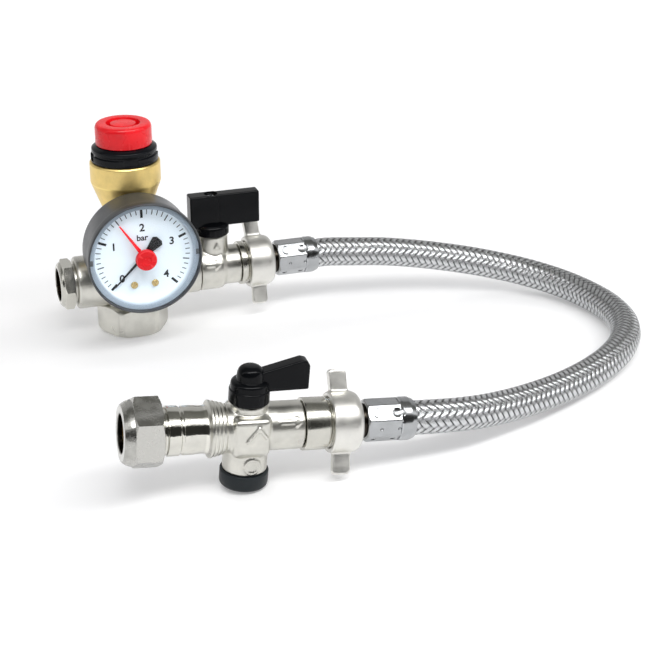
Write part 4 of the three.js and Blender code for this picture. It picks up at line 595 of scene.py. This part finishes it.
# Compression nuts: turned from hexagonal bar and plated, with a domed face round the pipe's mouth.
# A brass olive sits in each, out of sight.
tumbled_nickel = metal_finish("nickel_plate_tumbled", (0.47, 0.465, 0.44), (0.16, 0.34), 0.24, 0.00012, 230.0)
for name, finish, frame_at, face, length, crown, across, thread, turn in (
        ("front", tumbled_nickel, at_front, -49.2, 15.0, 4.0, 25.2, 10.6, -6),
        ("rear", turned_nickel, Matrix.Translation(rear_centre - Vector((0.0398, 0, 0))) @ Matrix.Scale(0.001, 4),
         -34.4, 6.6, 1.6, 20.8, 9.3, 90)):
    flat, corner, end = across / 2, across / math.sqrt(3), face + length
    drop = (corner - flat) * 0.9
    turned_down = turned([(face, 0), (face, flat * 0.87, 0.3), (face + crown / 2, flat * 0.98, crown / 4),
                          (face + crown, flat + 0.25, 0.2), (face + crown + drop * 0.6, corner + 0.1),
                          (end - drop * 0.6, corner + 0.1), (end, flat + 0.1, 0.2), (end, 0)], "X", 96)
    stock = bar(flats(6, across, turn), face + crown, end + 1, "X")
    stock = fused(stock, turned([(face - 1, 0), (face - 1, flat + 0.6), (face + crown + 0.1, flat + 0.6),
                                 (face + crown + 0.1, 0)], "X", 96))
    nut = common(turned_down, stock)
    nut = cut(nut, turned([(face - 1, 0), (face - 1, pipe_r + 0.4), (face, pipe_r + 0.4), (face + 0.4, pipe_r),
                           (face + 1.8, pipe_r), (face + 1.8, pipe_r + 0.5), (face + 2.6, pipe_mouth_r),
                           (face + 2.6, thread), (end + 1, thread), (end + 1, 0)], "X", 64))
    nut = worked(nut, ("BEVEL", {"width": 0.22, "segments": 2, "limit_method": "ANGLE", "harden_normals": False,
                                 "angle_limit": math.radians(25)}))
    # The bore past the nut's face gets painted shade.
    evened(as_piece(name + "_pipe_nut", deepened(nut, 8.0, face + 0.3), finish, "loop", "nickel_plate",
                    name + "_compression_nut", place=frame_at))

# Drain cap: moulded plastic, screwed on the drain port under the front valve over a rubber seal.
# It is the foot that the front valve stands on.


def moulded_finish(name, colour, rough, skin, worn=0.06, shine=0.5):
    """Moulded plastic: a fine grained skin, uneven gloss, and edges a little paler from handling."""
    material, tree, add = finish_nodes(name)
    place = add("ShaderNodeTexCoord").outputs["Object"]
    broad = add("ShaderNodeTexNoise", ("Vector", place), Scale=130.0, Detail=3.0).outputs["Fac"]
    grain = add("ShaderNodeTexNoise", ("Vector", place), Scale=3200.0, Detail=2.0).outputs["Fac"]
    patches = spread(add, broad, 0.3, 0.7, 0, 1)
    tone = tinted(add, patches, tuple(c * 0.88 for c in colour), tuple(c * 1.1 for c in colour))
    edge = add("ShaderNodeNewGeometry").outputs["Pointiness"]
    handled = tinted(add, spread(add, edge, 0.53, 0.62, 0, 0.6), tone, tuple(c * 1.1 + worn for c in colour))
    gloss = spread(add, broad, 0.3, 0.7, rough[0], rough[1])
    bump = add("ShaderNodeBump", ("Height", grain), Strength=0.4, Distance=skin).outputs[0]
    shader = surfaced(tree, add, [("Base Color", handled), ("Roughness", gloss), ("Normal", bump)])
    shader.inputs["Specular IOR Level"].default_value = shine
    return material


cap_plastic = moulded_finish("cap_plastic", (0.016, 0.021, 0.024), (0.34, 0.48), 0.00006, 0.02, 0.25)
cap_foot, cap_top, cap_inside, cap_r = -24.1, -17.6, -22.5, 9.6
cap = turned([(cap_foot, 0), (cap_foot, cap_r, 1.5), (cap_top, cap_r, 0.35), (cap_top, drain_thread_r + 0.3),
              (cap_inside, drain_thread_r + 0.3), (cap_inside, 0)], "Z", 96)
as_piece("foot_cap", cap, cap_plastic, "drain_cap", "black_plastic", "drain_cap", place=at_front)

# Front handle: one moulding, a round hub with a domed top that clips over the stem's square, and
# a tall narrow lever that rises towards its rounded tip.
handle_plastic = moulded_finish("handle_plastic", (0.004, 0.0045, 0.0055), (0.08, 0.16), 0.00002, 0.015, 0.13)
hub_low, hub_r, hub_top = 11.3, 8.0, 26.3
blade_t, blade_reach, blade_top = 6.0, 22.8, 28.4
hub = turned([(hub_low, 0), (hub_low, hub_r, 0.5), (16.6, hub_r, 0.25), (16.9, 7.65, 0.2), (19.9, 7.4, 1.0),
              (20.3, 5.5, 0.3), (23.2, 5.2, 0.8), (24.9, 4.6, 0.6), (26.1, 2.9, 0.7), (hub_top, 0)], "Z", 72)
blade = bar([(0, 15.6), (blade_reach, 16.2), (blade_reach, 26.0), (21.8, 27.8), (19.6, blade_top), (4.2, 24.0),
             (0, 22.0)], -blade_t / 2, blade_t / 2, ease=0.7)
blade = moved(blade, Matrix.Rotation(math.radians(90), 4, "X"))


def stem_hole(low, high):
    """The square hole that a lever sits on its stem with."""
    half = 2.4
    return block((-half, -half, low), (half, half, high))


handle = cut(fused(hub, blade), stem_hole(hub_low - 1.3, 18.4))
evened(as_piece("front_lever", handle, handle_plastic, "front_lever", "black_plastic", "front_handle", place=at_front))

# Rear valve: forged, plated body with a thick left part, a barrel and a stem boss. It carries a
# raised flow arrow and a small triangle. Its handle is one moulding held by a cross-headed screw.
rear_from, rear_r, rear_barrel_r, rear_end = -7.8, 10.9, 9.35, 12.1
rear_stem_top, rear_tail_r, rear_tail_from = 16.9, 8.5, -14.8
rear_forms = [
    turned([(rear_from, 0), (rear_from, rear_r, 0.6), (2.8, rear_r, 0.8), (5.0, rear_barrel_r, 0.5),
            (rear_end, rear_barrel_r, 0.3), (rear_end, 0)], "X", 72),
    rod(0, rear_stem_top, 7.4, ease=0.5),
    moved(arrow(7.0, 0.8, 0.9, 3.0, 2.2), lean(24, 10.4, -1.6)),
    moved(bar([(-1.6, 0), (1.6, 0), (0, 2.7)], 0, 0.9, ease=0.15),
          Matrix.Translation((0.4, -7.0, 11.2)) @ Matrix.Rotation(math.radians(90), 4, "X")),
]
rear_body = fused(cast(rear_forms, 0.4, 4), rod(rear_tail_from, -7, rear_tail_r, "X"))
rear_body = cut(rear_body, rod(-8.5, 13, ball_room_r, "X"), rod(0, 18, stem_hole_r, "Z", 32),
                rod(-16, 0, water_r, "X", 40))
as_piece("rear_valve", rear_body, satin_nickel, "loop", "nickel_plate", "rear_valve_body", place=at_rear)
lever_low, lever_top, lever_reach = 21.0, 36.6, 22.9
rear_hub = turned([(17.2, 0), (17.2, 8.2, 0.5), (21.2, 8.2, 0.7), (22.2, 7.0), (22.2, 0)], "Z", 72)
root = block((-10.8, -3.8, lever_low), (3.0, 3.8, lever_top), 0.8)
blade = block((-9.8, -3.2, lever_low), (lever_reach, 3.2, lever_top), 0.8)
screw_hole = rod(29, 38, 1.8, "Z", 24)
countersink = turned([(33.5, 0), (33.5, 3.0), (36.2, 3.0), (38, 3.9), (38, 0)], "Z", 48)
handle = cut(fused(rear_hub, root, blade), stem_hole(16, 29.9), screw_hole, countersink)
evened(as_piece("rear_lever", handle, handle_plastic, "rear_lever", "black_plastic", "rear_handle", place=at_rear))
lever_screw_r, lever_screw_head_r, lever_screw_top = 1.5, 2.7, 35.6
screw = turned([(24.6, 0), (24.6, lever_screw_r), (33.8, lever_screw_r), (33.8, lever_screw_head_r),
                (35.3, lever_screw_head_r, 0.4), (lever_screw_top, 1.6, 0.4), (lever_screw_top, 0)], "Z", 40)
for turn in (20, 110):
    cross = block((-1.7, -0.4, lever_screw_top - 0.9), (1.7, 0.4, 37))
    screw = cut(screw, moved(cross, Matrix.Rotation(math.radians(turn), 4, "Z")))
bright_steel = metal_finish("bright_steel", (0.66, 0.67, 0.68), (0.14, 0.26), 0.06, 0.00002)
as_piece("lever_screw", screw, bright_steel, "rear_lever", "steel", "rear_handle_screw", place=at_rear)

# Manifold: a forging, nickel plated, that stands on the hexagon of its own socket. It joins the
# pipe, the gauge, the relief valve and the rear valve, and has a boss for each.
at_foot = Matrix.Translation(foot) @ Matrix.Scale(0.001, 4)
socket_across, socket_top, socket_corner_r, socket_bore_r = 30.0, 14, 16.7, 12
column_r, spigot_r, boss_r, gauge_boss_r, top_r = 12.5, 12.3, 11.3, 8.5, 13.0
top, spigot_end, spigot_thread_end, boss_end, gauge_boss_end = 57.5, -26.0, -31.2, 31.7, 14.9
to_pipe = Matrix.Translation((0, 0, 25.25))
to_gauge = Matrix.Translation((0, 0, 47.5))
socket = common(bar(flats(6, socket_across), 0, socket_top, ease=0.9),
                turned([(0, 0), (0, 15.1, 0.3), (2.0, socket_corner_r, 0.5), (12.5, socket_corner_r, 0.5),
                        (socket_top, 14.2, 0.5), (socket_top, 0)], "Z", 96))
manifold_forms = [
    turned([(12.5, 0), (12.5, 14.6), (14, 12.9, 0.4), (16, column_r, 0.5), (51, column_r), (51, 0)], "Z", 96),
    turned([(48.5, 0), (48.5, 12.3), (50.0, top_r, 0.5), (top, top_r, 0.5), (top, 0)], "Z", 96),
    moved(turned([(spigot_end - 0.8, 0), (spigot_end - 0.8, 11.4, 0.4), (spigot_end, spigot_r, 0.5), (0, spigot_r),
                  (0, 0)], "X", 96), to_pipe),
    moved(rod(0, boss_end, boss_r, "X", 96, ease=0.4), to_pipe),
    moved(rod(0, gauge_boss_end, gauge_boss_r, "-Y", 72, ease=0.4), to_gauge),
]
spigot_thread = turned([(spigot_thread_end, 0), (spigot_thread_end, 9.0, 0.4), (spigot_end, 9.0), (spigot_end, 0)],
                       "X", 64)
manifold = fused(cast(manifold_forms, 0.42, 6), socket, moved(spigot_thread, to_pipe))
manifold = cut(
    manifold,
    turned([(-1, 0), (-1, 13), (0, 13), (1, socket_bore_r), (12, socket_bore_r), (12, 0)], "Z", 64),
    rod(11, 58, water_r, "Z", 40),
    rod(52.5, 58.5, 9.8),
    moved(turned([(spigot_thread_end - 1, 0), (spigot_thread_end - 1, pipe_mouth_r), (spigot_thread_end, pipe_mouth_r),
                  (-28.0, pipe_r), (-17, pipe_r), (-17, water_r), (-1, water_r), (-1, 0)], "X", 64), to_pipe),
    moved(turned([(0, 0), (0, water_r), (24.4, water_r), (24.4, 8.8), (33, 8.8), (33, 0)], "X", 64), to_pipe),
    moved(turned([(0, 0), (0, 2.0), (10.1, 2.0), (10.1, 4.8), (16, 4.8), (16, 0)], "-Y", 40), to_gauge),
)
as_piece("manifold", manifold, satin_nickel, "loop", "nickel_plate", "manifold_body", place=at_foot)

# Pressure gauge: a moulded case with its dial, a needle, and a red hand on the front that the
# fitter sets. A clear lens with a bevelled edge is snapped into the rim.
at_gauge = Matrix.Translation(Vector(joints["gauge_needle_turn"]["pos_m"]))
at_gauge.translation.y = foot.y
at_gauge = at_gauge @ Matrix.Rotation(math.radians(90), 4, "X") @ Matrix.Scale(0.001, 4)
case_plastic = moulded_finish("case_plastic", (0.062, 0.066, 0.071), (0.30, 0.42), 0.00004)
case_back, case_front, case_r, rim_r, lens_room_r, case_inside_r = 15.2, 36.8, 25.0, 26.0, 25.2, 23.4
case_ledge, inlet_r, clip_at = 34.1, 4.8, 24.2
case = turned([(case_back, inlet_r), (case_back, case_r, 2.4), (30.8, case_r, 0.4), (32.2, rim_r, 0.5),
               (case_front, rim_r, 0.5), (case_front, lens_room_r, 0.2), (case_ledge, lens_room_r),
               (case_ledge, case_inside_r), (16.8, case_inside_r), (16.8, inlet_r)], "Z", 128)
case = fused(case, *[block((x - 0.8, -1.1, 33.6), (x + 0.8, 1.3, 34.37)) for x in (-clip_at, clip_at)])
as_piece("gauge_shell", case, case_plastic, "loop", "grey_plastic", "gauge_case", place=at_gauge)


def dial_finish():
    material, tree, add = finish_nodes("dial_enamel")
    place = add("ShaderNodeTexCoord").outputs["Object"]
    cloud = add("ShaderNodeTexNoise", ("Vector", place), Scale=60.0, Detail=3.0).outputs["Fac"]
    grain = add("ShaderNodeTexNoise", ("Vector", place), Scale=2600.0).outputs["Fac"]
    tone = tinted(add, cloud, (0.76, 0.82, 0.87), (0.82, 0.87, 0.91))
    rim = add("ShaderNodeAttribute", attribute_name="rim").outputs["Fac"]
    tone = tinted(add, rim, tone, (0.33, 0.38, 0.44))
    bump = add("ShaderNodeBump", ("Height", grain), Strength=0.2, Distance=0.00002).outputs[0]
    gloss = spread(add, cloud, 0.3, 0.7, 0.35, 0.5)
    surfaced(tree, add, [("Base Color", tone), ("Normal", bump), ("Roughness", gloss)])
    return material


def ink_finish(name, colour):
    material, tree, add = finish_nodes(name)
    place = add("ShaderNodeTexCoord").outputs["Object"]
    cover = add("ShaderNodeTexNoise", ("Vector", place), Scale=1800.0, Detail=2.0).outputs["Fac"]
    tone = tinted(add, spread(add, cover, 0.35, 0.75, 0, 1), colour, tuple(c * 1.5 + 0.01 for c in colour))
    bump = add("ShaderNodeBump", ("Height", cover), Strength=0.2, Distance=0.00001).outputs[0]
    gloss = spread(add, cover, 0.3, 0.7, 0.3, 0.45)
    surfaced(tree, add, [("Base Color", tone), ("Normal", bump), ("Roughness", gloss)], **{"Specular IOR Level": 0.2})
    return material


dial_top, dial_back, dial_wall_r, shaft_hole_r = 30.8, 30.1, 23.1, 0.9
lip_low, lip_top, lip_r = 34.15, 34.3, 24.9
screws = {1: Vector((-4.8, -13.8, 0)), 2: Vector((4.8, -13.8, 0))}
dial = turned([(dial_back, shaft_hole_r), (dial_back, dial_wall_r), (lip_low, dial_wall_r), (lip_low, lip_r),
               (lip_top, lip_r), (lip_top, 22.7, 0.2), (dial_top, 21.9, 0.5), (dial_top, shaft_hole_r)], "Z", 128)
holes = [moved(rod(29, 32, 1.1, "Z", 24), Matrix.Translation(at)) for at in screws.values()]
clips = [block((x - 0.9, -1.2, 33), (x + 0.9, 1.4, 35)) for x in (-clip_at, clip_at)]
dial = cut(dial, *holes, *clips)
rim_layer = dial.verts.layers.float.new("rim")
for vert in dial.verts:
    vert[rim_layer] = 1.0 if vert.co.z > lip_low - 0.65 else 0.0
as_piece("dial", dial, dial_finish(), "loop", "dial_paint", "gauge_dial", place=at_gauge)
ink = ink_finish("dial_ink", (0.006, 0.006, 0.008))
grey_ink = ink_finish("dial_ink_grey", (0.055, 0.06, 0.07))
ink_t = 0.05


def at_clock(angle, radius):
    """A place on the dial, from a clock angle in degrees."""
    return Vector((radius * math.sin(math.radians(angle)), radius * math.cos(math.radians(angle)), 0))


def stroke(angle, inner, outer, width):
    """A printed line that points at the dial's centre."""
    line = block((-width / 2, inner, dial_top), (width / 2, outer, dial_top + ink_t))
    return moved(line, Matrix.Rotation(math.radians(-angle), 4, "Z"))


def together(*forms):
    """Several closed forms as one mesh."""
    whole = forms[0]
    for form in forms[1:]:
        data = bpy.data.meshes.new("part")
        form.to_mesh(data)
        form.free()
        whole.from_mesh(data)
        bpy.data.meshes.remove(data)
    return whole


def lettered(text, size, centre, weight=0.0):
    """Printed figures on the dial, their middle at a place."""
    curve = bpy.data.curves.new("figure", "FONT")
    curve.body, curve.size, curve.extrude, curve.offset = text, size, ink_t / 2, weight
    made = bpy.data.objects.new("figure", curve)
    bpy.context.scene.collection.objects.link(made)
    mesh = bmesh.new()
    mesh.from_mesh(made.evaluated_get(bpy.context.evaluated_depsgraph_get()).to_mesh())
    bpy.data.objects.remove(made)
    bmesh.ops.remove_doubles(mesh, verts=mesh.verts, dist=1e-4)
    low = Vector([min(v.co[i] for v in mesh.verts) for i in range(3)])
    high = Vector([max(v.co[i] for v in mesh.verts) for i in range(3)])
    return moved(mesh, Matrix.Translation(centre + Vector((0, 0, dial_top + ink_t / 2)) - (low + high) / 2))


black_marks, grey_marks = [], []
zero_at, per_bar, highest, steps_per_bar, marks_r = 225, 67.5, 4, 10, 21.4
for step in range(highest * steps_per_bar + 1):
    angle = zero_at + per_bar * step / steps_per_bar
    if step % steps_per_bar == 0:
        black_marks.append(stroke(angle, 17.8, marks_r, 1.15))
    elif step % 5 == 0:
        grey_marks.append(stroke(angle, 18.4, marks_r, 0.56))
    else:
        grey_marks.append(stroke(angle, 19.4, marks_r, 0.42))
for number in range(highest + 1):
    figure_r = 13.2 if number == 2 else 14.3
    black_marks.append(lettered(str(number), 4.9, at_clock(zero_at + per_bar * number, figure_r), 0.13))
black_marks.append(lettered("bar", 3.9, Vector((0, 8.4, 0)), 0.10))
as_piece("dial_scale", together(*black_marks), ink, "loop", "needle_paint", place=at_gauge)
as_piece("dial_divisions", together(*grey_marks), grey_ink, "loop", "needle_paint", place=at_gauge)

needle_ink = ink_finish("needle_enamel", (0.004, 0.004, 0.005))
frame["nodes"]["gauge_needle"].data.materials.clear()
frame["nodes"]["gauge_needle"].data.materials.append(needle_ink)
screw_r, screw_head_r, head_low, head_top = 0.8, 1.65, 31.1, 31.8
for i, at in screws.items():
    head = turned([(26.6, 0), (26.6, screw_r), (head_low, screw_r), (head_low, screw_head_r),
                   (31.55, screw_head_r, 0.2), (head_top, 1.2, 0.2), (head_top, 0)], "Z", 40)
    head = cut(head, moved(block((-2, -0.24, 31.45), (2, 0.24, 33)), Matrix.Rotation(math.radians(35 * i), 4, "Z")))
    as_piece("dial_screw_%d" % i, moved(head, Matrix.Translation(at)), turned_brass, "loop", "brass",
             "gauge_dial_screw_%d" % i, place=at_gauge)

red_plastic = moulded_finish("red_plastic", (0.92, 0.012, 0.020), (0.20, 0.32), 0.00002, 0.05, 0.35)
hand_low, hand_top, hand_reach, hand_set_bar = 32.9, 33.4, 19.0, 1.5
post_r, button_r, button_low, button_top = 1.3, 4.8, 36.2, 38.8
pointer = turned([(hand_low, 0), (hand_low, 2.3), (hand_top, 2.3), (hand_top, post_r), (button_low, post_r),
                  (button_low, button_r, 0.2), (38.3, button_r, 0.45), (button_top, 4.3, 0.3), (button_top, 2.2),
                  (38.4, 1.9), (38.4, 0)], "Z", 64)
hand = bar([(-0.95, 0), (0.95, 0), (0.3, hand_reach), (-0.3, hand_reach)], hand_low, hand_top, ease=0.1)
hand = moved(hand, Matrix.Rotation(math.radians(-(zero_at + per_bar * hand_set_bar)), 4, "Z"))
as_piece("set_hand", fused(pointer, hand), red_plastic, "gauge_set_pointer", "red_plastic", "gauge_set_pointer",
         place=at_gauge)


def lens_finish():
    material, tree, add = finish_nodes("clear_lens")
    place = add("ShaderNodeTexCoord").outputs["Object"]
    haze = add("ShaderNodeTexNoise", ("Vector", place), Scale=90.0, Detail=4.0).outputs["Fac"]
    swirl = add("ShaderNodeTexNoise", ("Vector", place), Scale=40.0).outputs["Fac"]
    bump = add("ShaderNodeBump", ("Height", swirl), Strength=0.03, Distance=0.0002).outputs[0]
    plastic = add("ShaderNodeBsdfPrincipled", ("Roughness", spread(add, haze, 0.3, 0.8, 0.01, 0.06)), ("Normal", bump),
                  IOR=1.22)
    plastic.inputs["Base Color"].default_value = (0.95, 0.98, 1.0, 1)
    plastic.inputs["Transmission Weight"].default_value = 1.0
    clear = add("ShaderNodeBsdfTransparent", Color=(0.96, 0.98, 0.99, 1))
    shadow = add("ShaderNodeLightPath").outputs["Is Shadow Ray"]
    both = add("ShaderNodeMixShader", (0, shadow), (1, plastic.outputs[0]), (2, clear.outputs[0]))
    add("ShaderNodeOutputMaterial", ("Surface", both.outputs[0]))
    return material


lens_low, lens_top, lens_r, lens_flat_r, lens_hole_r = 34.4, 35.9, 24.9, 22.7, 1.6
lens = turned([(lens_low, lens_hole_r), (lens_low, lens_r), (lens_low + 0.5, lens_r, 0.1),
               (lens_top, lens_flat_r, 0.1), (lens_top, lens_hole_r)], "Z", 128)
as_piece("lens", lens, lens_finish(), "loop", "clear_plastic", "gauge_lens", place=at_gauge)

# Relief valve: a turned and forged brass body, screwed into the manifold, with its outlet at the
# back. A black collar holds the diaphragm and the spring, and the red knob lifts it by hand.
cast_brass = metal_finish("forged_brass", (0.84, 0.64, 0.25), (0.32, 0.46), 0.12, 0.00004)
relief_foot, relief_neck, relief_top, relief_r, relief_neck_r = 52.8, 57.8, 83.0, 16.1, 11.5
outlet_r, outlet_end, outlet_bore_r = 8.5, 22.5, 6.3
to_outlet = Matrix.Translation((0, 0, 66.4))
outlet = moved(rod(0, outlet_end, outlet_r, "Y", 72, ease=0.5), to_outlet)
relief = turned([(relief_foot, 0), (relief_foot, 9.5, 0.4), (relief_neck, 9.5), (relief_neck, relief_neck_r, 0.2),
                 (61.0, relief_neck_r, 0.5), (72.6, 15.9, 0.8), (73.4, relief_r, 0.3), (82.2, relief_r, 0.3),
                 (relief_top, 15.5, 0.2), (relief_top, 0)], "Z", 96)
relief = cut(
    fused(relief, outlet),
    turned([(65, 0), (65, 6.25), (62, 6.65), (62, 10.5), (72, 10.5), (72, 13.6), (84, 13.6), (84, 0)], "Z", 64),
    rod(relief_foot - 1, 66, water_r, "Z", 40),
    moved(rod(11.5, outlet_end + 1, outlet_bore_r, "Y", 48), to_outlet),
    moved(rod(6.85, 12.5, 3.9, "Y", 40), to_outlet),
)
as_piece("relief_brass", relief, cast_brass, "loop", "brass", "relief_body", place=at_foot)
collar_plastic = moulded_finish("collar_plastic", (0.005, 0.006, 0.008), (0.12, 0.24), 0.00002, 0.02, 0.16)
collar_low, collar_top, collar_r, upper_ring_r, groove_r = 83.3, 90.6, 15.3, 14.9, 14.4
skirt_low, skirt_r, spring_room_r, spindle_hole_r = 73.5, 13.3, 9.7, 2.7
collar = turned([(88.6, spindle_hole_r), (88.6, spring_room_r), (skirt_low, spring_room_r), (skirt_low, skirt_r),
                 (collar_low, skirt_r), (collar_low, collar_r, 0.3), (86.4, collar_r, 0.2), (86.6, groove_r, 0.1),
                 (87.4, groove_r, 0.1), (87.6, upper_ring_r, 0.2), (89.4, upper_ring_r, 0.4), (collar_top, 12.95, 0.3),
                 (collar_top, spindle_hole_r)], "Z", 128)
windows = [moved(block((-3.2, -16.5, 84.0), (3.2, -14.2, 87.4), 0.15), Matrix.Rotation(math.radians(90 * i), 4, "Z"))
           for i in range(4)]
as_piece("relief_cap", cut(collar, *windows), collar_plastic, "loop", "black_plastic", "relief_collar", place=at_foot)
knob_low, knob_top, knob_r, ring_r, ring_inner_r, ring_floor = 90.9, 100.5, 12.85, 7.7, 5.8, 97.5
knob = turned([(97.8, 0), (97.8, spindle_hole_r), (knob_low, spindle_hole_r), (knob_low, knob_r, 0.3),
               (99.4, knob_r, 0.9), (knob_top, 11.8, 0.5), (knob_top, ring_r, 0.25), (ring_floor, ring_r),
               (ring_floor, ring_inner_r), (knob_top - 0.3, ring_inner_r, 0.25), (knob_top - 0.3, 0)], "Z", 128)
across_view = Vector((0.948, -0.318, 0))
ring_middle = (ring_r + ring_inner_r) / 2
pits = [moved(rod(96.6, 98, 0.85, "Z", 24), Matrix.Translation(across_view * r)) for r in (-ring_middle, ring_middle)]
as_piece("knob", cut(knob, *pits), red_plastic, "relief_knob", "red_plastic", "relief_knob", place=at_foot)

# Inner works and seals: brass stems, spindle and gauge movement, chromed balls on white seats,
# rubber seals, steel springs and the plastic check valves. They keep the shapes of the frame.
rubber = moulded_finish("black_rubber", (0.022, 0.022, 0.022), (0.55, 0.75), 0.00006, 0.02)
seat_plastic = moulded_finish("seat_plastic", (0.74, 0.74, 0.71), (0.35, 0.5), 0.00002, 0.03)
spring_steel = metal_finish("spring_steel", (0.52, 0.53, 0.54), (0.22, 0.36), 0.08, 0.00002)
chrome = metal_finish("chromed_ball", (0.78, 0.79, 0.80), (0.05, 0.12), 0.03, 0.000005)
kept = {
    turned_brass: ("rear_olive", "front_olive", "gauge_stem", "gauge_movement", "gauge_bourdon_tube", "gauge_sector",
                   "relief_spindle", "rear_stem", "front_stem"),
    rubber: ("relief_disc", "relief_diaphragm", "rear_stem_oring", "front_stem_oring", "rear_washer", "front_washer",
             "drain_cap_seal"),
    seat_plastic: ("rear_seat_left", "rear_seat_right", "front_seat_left", "front_seat_right", "check_body_1",
                   "check_body_2", "check_poppet_1", "check_poppet_2"),
    spring_steel: ("relief_spring", "check_spring_1", "check_spring_2"),
    chrome: ("rear_ball", "front_ball"),
}
for finish, nodes in kept.items():
    for node in nodes:
        frame["nodes"][node].data.materials.clear()
        frame["nodes"][node].data.materials.append(finish)

# Table and light: a white sweep under soft lamps. The sweep stays white to the camera and in
# the metal, and still takes the loop's soft shadow.
table_z = -0.0003
table_mesh = bmesh.new()
bmesh.ops.create_grid(table_mesh, x_segments=1, y_segments=1, size=3.0, matrix=Matrix.Translation((0, 0, table_z)))
table_data = bpy.data.meshes.new("table")
table_mesh.to_mesh(table_data)
table_mesh.free()
table_paper, tree, add = finish_nodes("white_paper")
paper_place = add("ShaderNodeTexCoord")
paper_grain = add("ShaderNodeTexNoise", ("Vector", paper_place.outputs["Object"]), Scale=90.0)
paper_tone = add("ShaderNodeMix", (0, paper_grain.outputs["Fac"]), data_type="RGBA")
paper_tone.inputs[6].default_value = (0.82, 0.82, 0.82, 1)
paper_tone.inputs[7].default_value = (0.84, 0.84, 0.84, 1)
paper = add("ShaderNodeBsdfDiffuse", ("Color", paper_tone.outputs[2]))
paper_away = add("ShaderNodeVectorMath", (0, paper_place.outputs["Object"]), operation="LENGTH").outputs["Value"]
paper_glow = add("ShaderNodeEmission", ("Strength", spread(add, paper_away, 0.35, 0.9, 0.25, 0.75)), Color=(1, 1, 1, 1))
lit_paper = add("ShaderNodeAddShader", (0, paper.outputs[0]), (1, paper_glow.outputs[0]))
seen = add("ShaderNodeLightPath")
seen_direct = add("ShaderNodeMath", (0, seen.outputs["Is Camera Ray"]), (1, seen.outputs["Is Glossy Ray"]),
                  operation="MAXIMUM")
seen_through = add("ShaderNodeMath", (0, seen_direct.outputs[0]), (1, seen.outputs["Is Transmission Ray"]),
                   operation="MAXIMUM")
paper_mix = add("ShaderNodeMixShader", (0, seen_through.outputs[0]), (1, paper.outputs[0]), (2, lit_paper.outputs[0]))
add("ShaderNodeOutputMaterial", ("Surface", paper_mix.outputs[0]))
table_data.materials.append(table_paper)
table = bpy.data.objects.new("table", table_data)
bpy.context.scene.collection.objects.link(table)

world = bpy.data.worlds.new("studio")
world.use_nodes = True
bpy.context.scene.world = world
sky = world.node_tree
sky.nodes.clear()


def sky_node(kind, *links, **values):
    node = sky.nodes.new(kind)
    for key, value in values.items():
        setattr(node, key, value)
    for key, source in links:
        if hasattr(source, "is_output"):
            sky.links.new(source, node.inputs[key])
        else:
            node.inputs[key].default_value = source
    return node


# What the metal mirrors, by how far round a direction is from the camera's side, over the top, to
# the far side: a dark room, a long softbox, the ceiling, and a grey wall.
facing = (-0.10, -0.995, 0.0)
bands = [(0, 0.035), (45, 0.035), (51, 1.35), (76, 1.35), (83, 0.22), (122, 0.16), (132, 0.52), (180, 0.62)]
way = sky_node("ShaderNodeTexCoord").outputs["Generated"]
height = sky_node("ShaderNodeSeparateXYZ", (0, way)).outputs["Z"]
nearness = sky_node("ShaderNodeVectorMath", (0, way), (1, facing), operation="DOT_PRODUCT").outputs["Value"]
round_by = sky_node("ShaderNodeMath", (0, height), (1, nearness), operation="ARCTAN2").outputs[0]
share = sky_node("ShaderNodeMath", (0, round_by), (1, math.pi), operation="DIVIDE").outputs[0]
ramp = sky_node("ShaderNodeValToRGB", (0, share))
for i, (degrees_round, level) in enumerate(bands):
    stops = ramp.color_ramp.elements
    stop = stops[i] if i < 2 else stops.new(degrees_round / 180)
    stop.position = degrees_round / 180
    stop.color = (level, level, level * (0.93 if level < 0.3 else 1.0), 1)
rays = sky_node("ShaderNodeLightPath").outputs
direct = sky_node("ShaderNodeMath", (0, rays["Is Camera Ray"]), (1, rays["Is Transmission Ray"]), operation="MAXIMUM")
lit = sky_node("ShaderNodeMix", (0, rays["Is Glossy Ray"]), (6, (0.31, 0.31, 0.32, 1)), (7, ramp.outputs[0]),
               data_type="RGBA")
shown = sky_node("ShaderNodeMix", (0, direct.outputs[0]), (6, lit.outputs[2]), (7, (1, 1, 1, 1)), data_type="RGBA")
sky_node("ShaderNodeOutputWorld", (0, sky_node("ShaderNodeBackground", (0, shown.outputs[2])).outputs[0]))


def lamp(name, place, aim, width, height, power, mirrored=False):
    data = bpy.data.lights.new(name, "AREA")
    data.shape = "RECTANGLE"
    data.size = width
    data.size_y = height
    data.energy = power
    made = bpy.data.objects.new(name, data)
    made.visible_glossy = mirrored
    made.location = place
    made.rotation_euler = (Vector(aim) - Vector(place)).to_track_quat("-Z", "Y").to_euler()
    bpy.context.scene.collection.objects.link(made)


lamp("key_softbox", (0.12, -0.62, 1.02), (0.02, -0.02, 0.03), 1.50, 0.28, 10.2, mirrored=True)
lamp("side_softbox", (0.95, -0.10, 0.60), (0.05, 0.0, 0.03), 0.50, 0.50, 2.5)
lamp("back_softbox", (-0.1, 0.85, 0.70), (0.0, 0.0, 0.03), 0.90, 0.25, 2.5)
